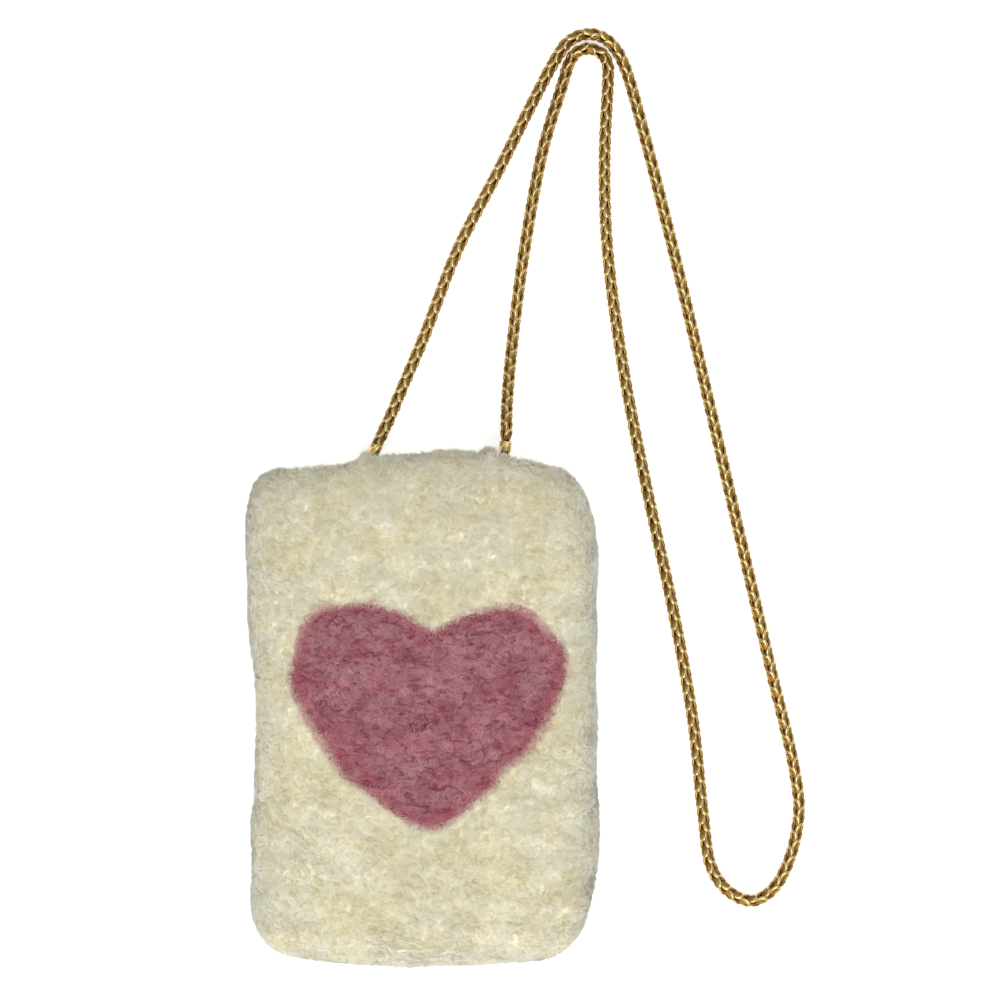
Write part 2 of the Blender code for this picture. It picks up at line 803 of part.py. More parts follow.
def arch_outline():
    """The arch on the slider, in side view, with its feet sunk into the top plate."""
    foot = SLIDER_TOP - SLIDER_PLATE / 2
    inside = SLIDER_TOP + ARCH_ROOM
    outside = inside + ARCH_LEG
    half = ARCH_LENGTH / 2
    clear = half - ARCH_LEG
    return [
        (-half, foot),
        (-clear, foot),
        (-clear, inside),
        (clear, inside),
        (clear, foot),
        (half, foot),
        (half, outside - ARCH_LEG / 2),
        (clear, outside),
        (-clear, outside),
        (-half, outside - ARCH_LEG / 2),
    ]


def make_slider(maker):
    """The slider at the zip's closed end, and its puller laid over the teeth."""
    rest = Vector((-SLIDER_TRAVEL / 2, ZIP_Y, MIDDLE))
    half = SLIDER_LENGTH / 2
    plan = rounded_box(-half, half, -SLIDER_HALF, SLIDER_HALF, SLIDER_RADIUS, steps=4)
    body = flat_mesh("zip_slider", [plan], 2 * SLIDER_TOP, plane="XZ")
    slider = maker.part("zip_slider", body, "gold_metal")
    slider.location = rest
    arch = maker.cutter("slider_arch", flat_mesh("slider_arch", [arch_outline()], ARCH_WIDTH))
    arch.location = rest
    join(slider, arch)
    for cutter in slider_cutters(maker):
        cutter.location = rest
        cut(slider, cutter)
    smooth_shading(slider)

    half = PULLER_WIDTH / 2
    slot_half = ARCH_WIDTH / 2 + GAP
    slot_start = PULLER_BAR / 2
    plate = rounded_box(-slot_start, PULLER_LENGTH, -half, half, PULLER_RADIUS, steps=4)
    slot_radius = slot_half / 2
    slot_end = slot_start + PULLER_SLOT
    slot = rounded_box(slot_start, slot_end, -slot_half, slot_half, slot_radius, steps=2)
    hole = circle(PULLER_LENGTH - PULLER_HOLE_EDGE, 0, PULLER_HOLE / 2)
    mesh = flat_mesh("zip_puller", [plate, slot, hole], PULLER_THICKNESS, plane="XZ")
    puller = maker.part("zip_puller", mesh, "gold_metal")
    puller.parent = slider
    puller.location = (0, PIVOT_HEIGHT, 0)


# Strap hardware and chain


def tab_path():
    """The tab's middle line in side view, as (y, z): up the front ply, round the bar
    and down the back ply."""
    path = [(TAB_BOTTOM, FRONT_PLY_Z), (BAR_Y, FRONT_PLY_Z)]
    fold_steps = 8
    for step in range(1, fold_steps + 1):
        angle = math.radians(90 - 180 * step / fold_steps)
        y = BAR_Y + FOLD_RADIUS * math.cos(angle)
        path.append((y, BAR_Z + FOLD_RADIUS * math.sin(angle)))
    low = BAR_Z - FOLD_RADIUS
    neck_steps = 4
    for step in range(1, neck_steps + 1):
        t = step / neck_steps
        ease = 3 * t**2 - 2 * t**3
        path.append((BAR_Y - TAB_NECK * t, low + (BACK_PLY_Z - low) * ease))
    path.append((TAB_BOTTOM, BACK_PLY_Z))
    return path


def make_tab(maker, side, x):
    """A strip of leather folded round the ring's bar."""
    path = tab_path()
    bm = bmesh.new()
    verts = [bm.verts.new((x - TAB_WIDTH / 2, y, z)) for y, z in path]
    edges = [bm.edges.new(pair) for pair in zip(verts, verts[1:])]
    made = bmesh.ops.extrude_edge_only(bm, edges=edges)["geom"]
    moved = [item for item in made if isinstance(item, bmesh.types.BMVert)]
    bmesh.ops.translate(bm, vec=(TAB_WIDTH, 0, 0), verts=moved)
    bmesh.ops.recalc_face_normals(bm, faces=bm.faces)
    mesh = bpy.data.meshes.new(f"strap_tab_{side}")
    bm.to_mesh(mesh)
    bm.free()
    tab = maker.part(f"strap_tab_{side}", mesh, "cream_leather")
    leather = tab.modifiers.new("leather", "SOLIDIFY")
    leather.thickness = TAB_LEATHER
    leather.offset = 0
    leather.use_even_offset = True
    cut(tab, rivet_hole(maker, f"tab_hole_{side}", x))
    smooth_shading(tab)


def make_rivet(maker, side, x):
    """A rivet through the facing and both plies of the tab."""
    head = RIVET_HEAD / 2
    shaft = RIVET_SHAFT / 2
    rim = RIVET_HEAD_HEIGHT / 2
    top = RIVET_HIGH + RIVET_HEAD_HEIGHT
    bottom = RIVET_LOW - RIVET_HEAD_HEIGHT
    profile = [
        (0, top),
        (head - rim, top),
        (head, RIVET_HIGH + rim),
        (head, RIVET_HIGH),
        (shaft, RIVET_HIGH),
        (shaft, RIVET_LOW),
        (head, RIVET_LOW),
        (head, RIVET_LOW - rim),
        (head - rim, bottom),
        (0, bottom),
    ]
    rivet = maker.part(f"tab_rivet_{side}", turned_mesh("rivet", profile, 16), "gold_metal")
    rivet.location = (x, RIVET_Y, 0)
    smooth_shading(rivet)


def ring_path():
    """A D: a straight bar on the X axis and a bow round its middle."""
    corner = math.radians(RING_CORNER_DEG)
    bar_half = RING_REACH - RING_WIRE / 2
    bow_steps = 14
    path = [(-bar_half, 0, 0), (bar_half, 0, 0)]
    for step in range(bow_steps + 1):
        angle = corner + (math.pi - 2 * corner) * step / bow_steps
        path.append((RING_REACH * math.cos(angle), RING_REACH * math.sin(angle), 0))
    return path


def strand_frame(strand):
    """The heading of a strand, and a matrix that turns +Z to it and +Y up."""
    heading = math.radians(strand["heading_deg"])
    along = Vector((math.cos(heading), math.sin(heading), 0))
    up = Vector((0, 0, 1))
    across = up.cross(along)
    return along, Matrix((across, up, along)).transposed().to_4x4()


def make_ring(maker, side, strand):
    """A D-ring, the link on it and the end cap, which swing together about the ring's bar."""
    axis = bpy.data.objects.new(f"ring_axis_{side}", None)
    maker.parts.objects.link(axis)
    axis.location = (strand["x"], BAR_Y, BAR_Z)
    along, turn = strand_frame(strand)

    ring = maker.part(
        f"d_ring_{side}",
        curve_mesh(tube_curve("d_ring", ring_path(), RING_WIRE, 2, closed=True)),
        "gold_metal",
    )
    ring.parent = axis
    smooth_shading(ring)

    stand = turn @ Matrix.Rotation(math.radians(90), 4, "Y")
    link = maker.part(
        f"end_link_{side}", torus_mesh("end_link", LINK_RADIUS, LINK_WIRE), "gold_metal"
    )
    link.parent = axis
    link.matrix_local = Matrix.Translation(along * LINK_PLACE) @ stand
    smooth_shading(link)

    radius = CAP_DIAMETER / 2
    profile = [
        (0, CAP_LENGTH),
        (radius, CAP_LENGTH),
        (radius, CAP_NOSE),
        (CAP_NOSE_DIAMETER / 2, 0),
        (0, 0),
    ]
    cap = maker.part(f"end_cap_{side}", turned_mesh("end_cap", profile), "gold_metal")
    cap.parent = axis
    cap.matrix_local = Matrix.Translation(along * CAP_START) @ turn
    eye = maker.cutter(f"cap_eye_{side}", torus_mesh("cap_eye", EYE_RADIUS, LINK_WIRE))
    lie = turn @ Matrix.Rotation(math.radians(90), 4, "X")
    eye.parent = axis
    eye.matrix_local = Matrix.Translation(along * EYE_PLACE) @ lie
    join(cap, eye)
    smooth_shading(cap)


def chain_end(side):
    """Where the chain meets its end cap, and its heading there."""
    strand = STRANDS[side]
    along = strand_frame(strand)[0]
    return Vector((strand["x"], BAR_Y, BAR_Z)) + along * TUBE_START, along


def chain_points():
    """The tube's points, read from a smooth curve through the route and held above the
    floor: close together where it bends and a full step apart where it runs straight."""
    left, left_along = chain_end("left")
    right, right_along = chain_end("right")
    lead = CHAIN_DIAMETER
    route = [left, left + left_along * lead]
    route += [Vector(place) for place in CHAIN_ROUTE]
    route += [right + right_along * lead, right]
    fine = smooth_line(route, 40)
    for place in fine:
        place.z = max(place.z, CHAIN_DIAMETER / 2)
    points = [fine[0]]
    walked = 0
    for i in range(1, len(fine) - 1):
        before = fine[i] - fine[i - 1]
        after = fine[i + 1] - fine[i]
        bend = before.angle(after) / before.length
        step = min(CHAIN_STEP, math.sqrt(8 * CHAIN_SAG / max(bend, 1 / BAG_LENGTH)))
        walked += before.length / step
        if walked >= 1:
            points.append(fine[i])
            walked -= 1
    if (points[-1] - fine[-1]).length < CHAIN_DIAMETER:
        points.pop()
    points.append(fine[-1])
    length = sum((b - a).length for a, b in zip(fine, fine[1:]))
    print("chain strap:", len(points), "points,", round(length * 1000, 1), "mm long")
    return points


def make_chain(maker):
    curve = tube_curve("chain_strap", chain_points(), CHAIN_DIAMETER, 2)
    maker.part("chain_strap", curve, "gold_metal")


def main():
    clear_scene()
    maker = Maker()
    make_shells(maker)
    make_lining(maker, "lining_front", 1)
    make_lining(maker, "lining_back", -1)
    make_mouth(maker)
    make_zip_half(maker, "front", 1)
    make_zip_half(maker, "back", -1)
    make_bottom_stop(maker)
    make_slider(maker)
    for side, strand in STRANDS.items():
        make_tab(maker, side, strand["x"])
        make_rivet(maker, side, strand["x"])
        make_ring(maker, side, strand)
    make_chain(maker)
    bpy.context.view_layer.update()


main()
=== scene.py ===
import math

import bpy
import numpy as np
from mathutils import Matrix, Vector
from mathutils.bvhtree import BVHTree
from mathutils.kdtree import KDTree


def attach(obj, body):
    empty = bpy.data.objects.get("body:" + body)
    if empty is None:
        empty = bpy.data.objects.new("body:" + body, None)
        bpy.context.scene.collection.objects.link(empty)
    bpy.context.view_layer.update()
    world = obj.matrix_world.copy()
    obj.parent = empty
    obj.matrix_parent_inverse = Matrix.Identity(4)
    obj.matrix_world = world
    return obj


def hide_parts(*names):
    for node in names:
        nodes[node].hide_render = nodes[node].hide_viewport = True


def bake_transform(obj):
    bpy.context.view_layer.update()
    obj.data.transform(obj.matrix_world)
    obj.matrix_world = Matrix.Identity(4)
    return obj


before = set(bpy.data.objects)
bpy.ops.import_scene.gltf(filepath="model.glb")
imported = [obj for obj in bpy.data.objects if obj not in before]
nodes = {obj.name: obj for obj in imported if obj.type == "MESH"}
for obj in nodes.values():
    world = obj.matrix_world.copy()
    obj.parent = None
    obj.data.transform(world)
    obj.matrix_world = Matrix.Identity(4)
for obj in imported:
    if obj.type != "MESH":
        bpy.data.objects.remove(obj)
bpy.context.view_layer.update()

scene = bpy.context.scene
mm = 0.001


def linear(hexCode):  # sRGB hex to the linear colour that Blender's sockets take
    parts = [int(hexCode[i:i + 2], 16) / 255 for i in (0, 2, 4)]
    return [p / 12.92 if p <= 0.04045 else ((p + 0.055) / 1.055) ** 2.4 for p in parts] + [1]


def addNode(tree, kind, settings=None, inputs=None):
    # A link goes in wherever a socket is given, and "stops" are a ramp's places and colours
    made = tree.nodes.new(kind)
    for name, value in (settings or {}).items():
        if name == "stops":
            points = made.color_ramp.elements
            while len(points) < len(value):
                points.new(0.5)
            for point, (place, hexCode) in zip(points, value):
                point.position = place
                point.color = linear(hexCode)
        else:
            setattr(made, name, value)
    for name, value in (inputs or {}).items():
        if isinstance(value, bpy.types.NodeSocket):
            tree.links.new(value, made.inputs[name])
        else:
            made.inputs[name].default_value = value
    return made


# For Mix nodes between colours. Their sockets are 0 for the share, 6 and 7 for the colours and
# 2 for what comes out.
blendColours = {"data_type": "RGBA"}
multiplyColours = {"data_type": "RGBA", "blend_type": "MULTIPLY"}


def newMaterial(name, settings):
    material = bpy.data.materials.new(name)
    material.use_nodes = True
    tree = material.node_tree
    tree.nodes.clear()
    shader = addNode(tree, "ShaderNodeBsdfPrincipled", None, settings)
    addNode(tree, "ShaderNodeOutputMaterial", None, {"Surface": shader.outputs[0]})
    return material, tree, shader


def newPiece(name, verts, faces, material, body, slot):
    mesh = bpy.data.meshes.new(name)
    mesh.from_pydata([tuple(v) for v in verts], [], [tuple(f) for f in faces])
    return dressPiece(name, mesh, material, body)


def dressPiece(name, mesh, material, body):
    piece = bpy.data.objects.new(name, mesh)
    scene.collection.objects.link(piece)
    mesh.materials.clear()
    mesh.materials.append(material)
    mesh.polygons.foreach_set("use_smooth", [True] * len(mesh.polygons))
    mesh.polygons.foreach_set("material_index", [0] * len(mesh.polygons))
    mesh.update()
    if body:
        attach(piece, body)
    return piece


def mark(mesh, name, values):
    layer = mesh.attributes.new(name, "FLOAT", "POINT")
    layer.data.foreach_set("value", np.asarray(values, np.float32))


def unit(vectors):  # the same directions, each one long
    return vectors / np.linalg.norm(vectors, axis=1, keepdims=True)


def ring(centre, radius, first, second, count, start=0.0):  # points round a centre
    turns = start + 2 * math.pi * np.arange(count) / count
    return [centre + radius * (math.cos(t) * first + math.sin(t) * second) for t in turns]


def wrapFaces(rows, around, closed):  # quads between rings that have around points each
    faces = []
    for i in range(rows if closed else rows - 1):
        base, after = i * around, (i + 1) % rows * around
        for k in range(around):
            m = (k + 1) % around
            faces.append((base + k, base + m, after + m, after + k))
    return faces


def sweep(sections):  # joins closed sections, each a ring of points, into a capped solid
    count, size = len(sections), len(sections[0])
    faces = wrapFaces(count, size, False)
    faces.append(tuple(range(size - 1, -1, -1)))
    faces.append(tuple(range((count - 1) * size, count * size)))
    return np.concatenate(sections), faces


def joinParts(parts):  # several (points, faces) as one
    verts, faces = [], []
    for some, joined in parts:
        faces += [tuple(len(verts) + i for i in face) for face in joined]
        verts += list(some)
    return verts, faces


# Camera and studio

studio = {
    "aim": (0.0316, 0.083),  # the point the camera hangs over
    "height": 1.667,
    "frameWidth": 0.400,  # what it sees across, at the height of the bag's seam
    "seam": 0.018,
    "sensor": 36,  # mm
    "clipStart": 0.01,
    "floorSize": 6.0,
    "floorGrey": "E4E4E2",
    "floorLift": 0.55,  # added for what the camera sees, so the floor comes out white
    "sky": [(0.0, "ACAEB0"), (0.35, "B6B8BA"), (0.7, "C4C6C8"), (1.0, "CCCED0")],
    "lampAim": (0.03, 0.06, 0),
    "softbox": {"place": (-0.22, -1.0, 1.5), "size": 2.0, "watts": 28.5},
    "fill": {"place": (0.6, 0.9, 1.5), "size": 2.0, "watts": 9},
}


def makeCamera():
    data = bpy.data.cameras.new("camera")
    data.sensor_width = studio["sensor"]
    distance = studio["height"] - studio["seam"]
    data.lens = studio["sensor"] * distance / studio["frameWidth"]
    data.clip_start = studio["clipStart"]
    data.dof.use_dof = False
    camera = bpy.data.objects.new("camera", data)
    camera.location = (*studio["aim"], studio["height"])
    scene.collection.objects.link(camera)
    scene.camera = camera


def makeLamp(name, facts):
    data = bpy.data.lights.new(name, "AREA")
    data.shape = "DISK"
    data.size = facts["size"]
    data.energy = facts["watts"]
    lamp = bpy.data.objects.new(name, data)
    lamp.location = facts["place"]
    aim = Vector(studio["lampAim"]) - lamp.location
    lamp.rotation_euler = aim.to_track_quat("-Z", "Y").to_euler()
    scene.collection.objects.link(lamp)


def seenRay(tree):  # 1 for rays from the camera and for those that metal sends back
    rays = addNode(tree, "ShaderNodeLightPath")
    first = addNode(tree, "ShaderNodeMath", {"operation": "MAXIMUM"},
                    {0: rays.outputs["Is Camera Ray"], 1: rays.outputs["Is Glossy Ray"]})
    return addNode(tree, "ShaderNodeMath", {"operation": "MAXIMUM"},
                   {0: first.outputs[0], 1: rays.outputs["Is Transmission Ray"]}).outputs[0]


def makeFloor():
    half = studio["floorSize"] / 2
    mesh = bpy.data.meshes.new("floor")
    corners = [(-half, -half, 0), (half, -half, 0), (half, half, 0), (-half, half, 0)]
    mesh.from_pydata(corners, [], [(0, 1, 2, 3)])
    floor = bpy.data.objects.new("floor", mesh)
    scene.collection.objects.link(floor)
    material = bpy.data.materials.new("paper_sweep")  # matt white paper, lifted to pure white
    material.use_nodes = True
    tree = material.node_tree
    tree.nodes.clear()
    paper = addNode(tree, "ShaderNodeBsdfDiffuse", None, {"Color": linear(studio["floorGrey"])})
    glow = addNode(tree, "ShaderNodeEmission", None, {"Strength": studio["floorLift"]})
    lit = addNode(tree, "ShaderNodeAddShader", None, {0: paper.outputs[0], 1: glow.outputs[0]})
    seen = addNode(tree, "ShaderNodeMixShader", None,
                   {0: seenRay(tree), 1: paper.outputs[0], 2: lit.outputs[0]})
    addNode(tree, "ShaderNodeOutputMaterial", None, {"Surface": seen.outputs[0]})
    mesh.materials.append(material)


def makeWorld():
    world = bpy.data.worlds.new("studio")
    scene.world = world
    world.use_nodes = True
    tree = world.node_tree
    tree.nodes.clear()
    # A bright ceiling and dimmer walls, so that metal has something dark to show
    place = addNode(tree, "ShaderNodeTexCoord")
    parts = addNode(tree, "ShaderNodeSeparateXYZ", None, {0: place.outputs["Generated"]})
    tone = addNode(tree, "ShaderNodeValToRGB", {"stops": studio["sky"]},
                   {"Fac": parts.outputs["Z"]})
    glow = addNode(tree, "ShaderNodeBackground", None, {"Color": tone.outputs["Color"]})
    addNode(tree, "ShaderNodeOutputWorld", None, {"Surface": glow.outputs[0]})


scene.view_settings.view_transform = "Standard"
makeCamera()
makeFloor()
makeWorld()
makeLamp("softbox", studio["softbox"])
makeLamp("fill", studio["fill"])
print("studio set")


# Chain: gold-plated brass, each link a long ring folded into a hairpin, drawn through the one
# before. Every second link is turned a quarter, so four sides show nested hairpins.

gold = {
    "lacquer": 0.35,
    "lacquerRoughness": 0.15,
    "haze": (0.75, 1.3),  # the least and most roughness, as shares of the finish's own
    "dull": "C4A666",  # the colour under the thickest haze
}


def goldMaterial(name, colour, roughness, grain, recessShade=None):
    # Gold plate over brass, barrel-polished and lacquered: bright, with a haze that softens
    # glints. A given ramp paints shade into the recesses. The haze is drawn 1 to 2 mm across,
    # coarser than real polishing marks, which wouldn't show.
    material, tree, shader = newMaterial(name, {
        "Metallic": 1.0, "Coat Weight": gold["lacquer"],
        "Coat Roughness": gold["lacquerRoughness"],
    })
    place = addNode(tree, "ShaderNodeTexCoord")
    haze = addNode(tree, "ShaderNodeTexNoise", None,
                   {"Vector": place.outputs["Object"], "Scale": 1 / grain, "Detail": 3.0})
    least, most = gold["haze"]
    span = addNode(tree, "ShaderNodeMapRange", None,
                   {"Value": haze.outputs[0], "To Min": roughness * least,
                    "To Max": roughness * most})
    tree.links.new(span.outputs[0], shader.inputs["Roughness"])
    tone = addNode(tree, "ShaderNodeMix", blendColours, {
        0: haze.outputs[0], 6: linear(colour), 7: linear(gold["dull"])})
    # Painted shade: the ramp darkens the metal where the height attribute is low, in recesses
    if recessShade:
        height = addNode(tree, "ShaderNodeAttribute", {"attribute_name": "height"})
        clean = addNode(tree, "ShaderNodeValToRGB", {"stops": recessShade},
                        {"Fac": height.outputs["Fac"]})
        tone = addNode(tree, "ShaderNodeMix", multiplyColours,
                       {0: 1.0, 6: tone.outputs[2], 7: clean.outputs["Color"]})
    tree.links.new(tone.outputs[2], shader.inputs["Base Color"])
    return material


# The chain's recesses are darkened by painted shade. Its hardware was brushed before plating, so
# that glints on it are broader, and the zip's brass is stamped and tumbled, which leaves it
# duller.
chainGold = goldMaterial("gold_plate_polished", "DAC890", 0.18, 2 * mm,
                         [(0.35, "7C5E30"), (0.76, "B89C60"), (0.98, "FFFFFF")])
hardwareGold = goldMaterial("gold_plate_brushed", "E2BC74", 0.26, 1 * mm)
zipGold = goldMaterial("brass_zip_teeth", "D6AD62", 0.3, 1 * mm)

chain = {
    "diameter": 4.6 * mm,  # of the plain cord that stands for it in the CAD
    "braid": 5.2 * mm,  # across the links, which stand a little proud of that
    "wire": 1.45 * mm,
    "pitch": 3.3 * mm,  # from one link to the next, which is turned a quarter
    "reach": 8.0 * mm,  # length of a folded link, between the middles of its wire
    "foldOut": 0.6 * mm,  # how far the folds lie from the chain's middle
    "tuck": 3.4,  # how late the wire dives under, towards the fold
    "round": 2.6,  # how blunt the ends of the hairpins are
    "arch": 4.5,  # how wide those ends open
    "square": 4,  # 2 is a round chain, more a squarer one
    "snug": 0.88,  # how thin the links are pressed inside the end caps
    "around": 8,  # points round a wire, and along a link
    "along": 30,
    # The core: how far out, its wire, its turn, points round, and its level on the ramp of painted
    # shade
    "core": {"out": 0.42 * mm, "wire": 1.0 * mm, "turn": 6 * mm, "around": 6, "paintedShadeLevel": 0.9},
    "hidden": 4.0 * mm,  # length that sits in the end cap
    "bar": {"left": (-0.024585, 0.0905, 0.010), "right": (0.032615, 0.0905, 0.010)},
    "heading": {"left": 65.2, "right": 85.6},  # degrees from +X
    "start": 16.56 * mm,  # from the bar of the ring to where the strap begins
    # From there to where it no longer swings with its ring. That lies mostly to the side, so
    # that the far part of a run, which comes back past the bag, rests.
    "bend": {"left": (0.028, 0, 0), "right": (0.0279, 0.00852, 0)},
    "step": 0.5 * mm,  # between the points of its path
    "curve": 24,  # points of the curve from one point of the route to the next
    "easing": 12,  # rounds that ease the tightest bends, as a real chain would
    "clearance": 0.02 * mm,  # over the floor
    "cordStep": 4 * mm,  # between the points that say where the cord lies
}
# The strap's route, the same points as the CAD has
chainRoute = [
    (-0.0130, 0.1155, 0.0092), (-0.0070, 0.1300, 0.0055), (0.0010, 0.1490, 0.0026),
    (0.0145, 0.1840, 0.0024), (0.0310, 0.2160, 0.0024), (0.0445, 0.2430, 0.0024),
    (0.0545, 0.2618, 0.0024), (0.0592, 0.2682, 0.0024), (0.0665, 0.2712, 0.0024),
    (0.0735, 0.2697, 0.0024), (0.0786, 0.2648, 0.0024), (0.0822, 0.2575, 0.0024),
    (0.0875, 0.2395, 0.0024), (0.1035, 0.1760, 0.0024), (0.1185, 0.1115, 0.0024),
    (0.1410, 0.0145, 0.0024), (0.1503, -0.0250, 0.0024), (0.1523, -0.0430, 0.0024),
    (0.1485, -0.0620, 0.0024), (0.1420, -0.0740, 0.0024), (0.1335, -0.0790, 0.0024),
    (0.1240, -0.0752, 0.0024), (0.1170, -0.0655, 0.0024), (0.1135, -0.0430, 0.0024),
    (0.1095, -0.0060, 0.0024), (0.1015, 0.0385, 0.0024), (0.0910, 0.0870, 0.0024),
    (0.0815, 0.1355, 0.0024), (0.0750, 0.1840, 0.0024), (0.0738, 0.2200, 0.0024),
    (0.0752, 0.2530, 0.0024), (0.0751, 0.2585, 0.0024), (0.0730, 0.2630, 0.0024),
    (0.0673, 0.2653, 0.0024), (0.0621, 0.2634, 0.0024), (0.0594, 0.2590, 0.0024),
    (0.0571, 0.2515, 0.0024), (0.0490, 0.2245, 0.0024), (0.0415, 0.1840, 0.0024),
    (0.0370, 0.1500, 0.0026), (0.0350, 0.1300, 0.0055), (0.0342, 0.1165, 0.0092),
]
# How far the chain is twisted, in degrees, at shares of its length
chainTwist = [(0, 40), (0.1, 52), (0.2, 38), (0.3, 50), (0.36, 36), (0.42, 55), (0.5, 40),
              (0.6, 48), (0.68, 36), (0.76, 54), (0.86, 40), (0.93, 50), (1, 44)]


def smoothLine(points, steps):
    # Centripetal curve through the points, which doesn't swing wide where they lie unevenly
    points = [np.array(p) for p in points]
    points = [2 * points[0] - points[1]] + points + [2 * points[-1] - points[-2]]
    line = []
    for a, b, c, d in zip(points, points[1:], points[2:], points[3:]):
        t0 = 0
        t1 = t0 + np.linalg.norm(b - a) ** 0.5
        t2 = t1 + np.linalg.norm(c - b) ** 0.5
        t3 = t2 + np.linalg.norm(d - c) ** 0.5
        for i in range(steps):
            t = t1 + (t2 - t1) * i / steps
            p = (a * (t1 - t) + b * (t - t0)) / (t1 - t0)
            q = (b * (t2 - t) + c * (t - t1)) / (t2 - t1)
            r = (c * (t3 - t) + d * (t - t2)) / (t3 - t2)
            p = (p * (t2 - t) + q * (t - t0)) / (t2 - t0)
            q = (q * (t3 - t) + r * (t - t1)) / (t3 - t1)
            line.append((p * (t2 - t) + q * (t - t1)) / (t2 - t1))
    return np.array(line + [points[-2]])


def readAt(walk, places, table):  # the row of a table at each distance along its path
    return np.stack([np.interp(walk, places, table[:, k]) for k in range(3)], 1)


def evenly(line, gap):  # the same line with its points gap apart, and their distances
    walked = np.concatenate([[0], np.cumsum(np.linalg.norm(np.diff(line, axis=0), axis=1))])
    places = np.linspace(0, walked[-1], int(walked[-1] / gap) + 1)
    return readAt(places, walked, line), places


def strapEnd(side):
    turn = math.radians(chain["heading"][side])
    along = np.array([math.cos(turn), math.sin(turn), 0])
    return np.array(chain["bar"][side]) + along * chain["start"], along


def strapPath():
    left, leftAlong = strapEnd("left")
    right, rightAlong = strapEnd("right")
    lead, step = chain["diameter"], chain["step"]
    route = [left, left + leftAlong * lead, *chainRoute, right + rightAlong * lead, right]
    path = evenly(smoothLine(route, chain["curve"]), step)[0]
    for _ in range(chain["easing"]):
        path[1:-1] = (path[:-2] + 2 * path[1:-1] + path[2:]) / 4
    path[:, 2] = np.maximum(path[:, 2], chain["diameter"] / 2)
    extra = int(chain["hidden"] / step)
    before = left - leftAlong * np.arange(extra, 0, -1)[:, None] * step
    after = right - rightAlong * np.arange(1, extra + 1)[:, None] * step
    return evenly(np.concatenate([before, path, after]), step)


def linkShape():
    # One folded link, straight, as (along the chain, across, out) for each point of its wire.
    # Its two eyes lie on opposite faces, and its folds tuck in under the next faces.
    count, out, square = chain["along"], (chain["braid"] - chain["wire"]) / 2, chain["square"]
    turn = np.arange(count) / count * 2 * math.pi
    eye, fold = np.abs(np.cos(turn)), np.abs(np.sin(turn))
    radius = chain["foldOut"] + (out - chain["foldOut"]) * (1 - fold ** chain["tuck"])
    radius /= (fold ** square + eye ** square) ** (1 / square)
    share = fold ** chain["round"] / (
        fold ** chain["round"] + chain["arch"] * eye ** chain["round"])
    line = np.stack([chain["reach"] * (1 - share), radius * np.sin(turn),
                     radius * np.cos(turn)], 1)
    ahead = unit(np.roll(line, -1, 0) - np.roll(line, 1, 0))
    side = np.cross(ahead, np.array([0.31, 0.9, 0.3]))  # a way that the wire never runs
    for i in range(1, count):  # carries the side round the loop without spinning
        side[i] = side[i - 1] - ahead[i] * side[i - 1].dot(ahead[i])
    side = unit(side)
    other = np.cross(ahead, side)
    last = side[-1] - ahead[0] * side[-1].dot(ahead[0])
    gap = math.atan2(last.dot(other[0]), last.dot(side[0]))
    rings = [ring(line[i], chain["wire"] / 2, side[i], other[i], chain["around"],
                  -gap * i / count) for i in range(count)]
    return np.concatenate(rings), np.array(wrapFaces(count, chain["around"], True))


def coreWires(path, places, first, second):
    # The folds inside the chain, drawn as two wires wound round each other, so that no light
    # comes through between the links
    core, parts = chain["core"], []
    for start in (0, math.pi):
        angle = (start + 2 * math.pi * places / core["turn"])[:, None]
        centre = path + core["out"] * (first * np.cos(angle) + second * np.sin(angle))
        parts.append(sweep([
            ring(centre[i], core["wire"] / 2, first[i], second[i], core["around"])
            for i in range(len(path))]))
    return joinParts(parts)


def makeChain():
    path, places = strapPath()
    ahead = unit(np.gradient(path, axis=0))
    side = unit(np.cross(ahead, np.array([0, 0, 1.0])))
    top = np.cross(side, ahead)
    twist = np.radians(np.interp(places / places[-1], *zip(*chainTwist)))[:, None]
    first = side * np.cos(twist) + top * np.sin(twist)
    second = top * np.cos(twist) - side * np.sin(twist)
    shape, faces = linkShape()
    total = places[-1]
    count = int((total - chain["reach"]) / chain["pitch"]) + 1
    pitch = (total - chain["reach"]) / (count - 1)
    split = int(np.argmin(path[:, 1]))  # the strap is two runs that meet at the far loop
    runs = {"left": [], "right": []}
    for i in range(count):
        begin = i * pitch + chain["reach"]  # eyes point back, to the left end
        local = shape if i % 2 == 0 else shape[:, [0, 2, 1]] * np.array([1, 1, -1])
        walk = np.clip(begin - local[:, 0], 0, total)
        spot, one, two = (readAt(walk, places, table) for table in (path, first, second))
        outside = (np.minimum(walk, total - walk) - chain["hidden"]) / chain["wire"]
        snug = chain["snug"] + (1 - chain["snug"]) * np.clip(outside, 0, 1)[:, None]
        verts = spot + snug * (one * local[:, 1:2] + two * local[:, 2:3])
        verts[:, 2] = np.maximum(verts[:, 2], chain["clearance"])
        runs["left" if begin < places[split] else "right"].append(verts)
    # Painted shade: each point's distance from the chain's middle, which the ramp turns into
    # darker colour further in
    height = np.hypot(shape[:, 1], shape[:, 2]) / (chain["braid"] / 2)
    for side, links in runs.items():
        part = slice(0, split + 1) if side == "left" else slice(split, None)
        inner, joined = coreWires(path[part], places[part], first[part], second[part])
        verts, allFaces = joinParts([(link, faces) for link in links] + [(inner, joined)])
        run = newPiece(f"chain_{side}", verts, allFaces, chainGold, None, "chain_gold")
        mark(run.data, "height",
             [*np.tile(height, len(links)), *[chain["core"]["paintedShadeLevel"]] * len(inner)])
        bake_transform(run)
        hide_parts("chain_strap")


makeChain()


# Wool: shorn sheepskin, ivory, with a dyed heart let into the front

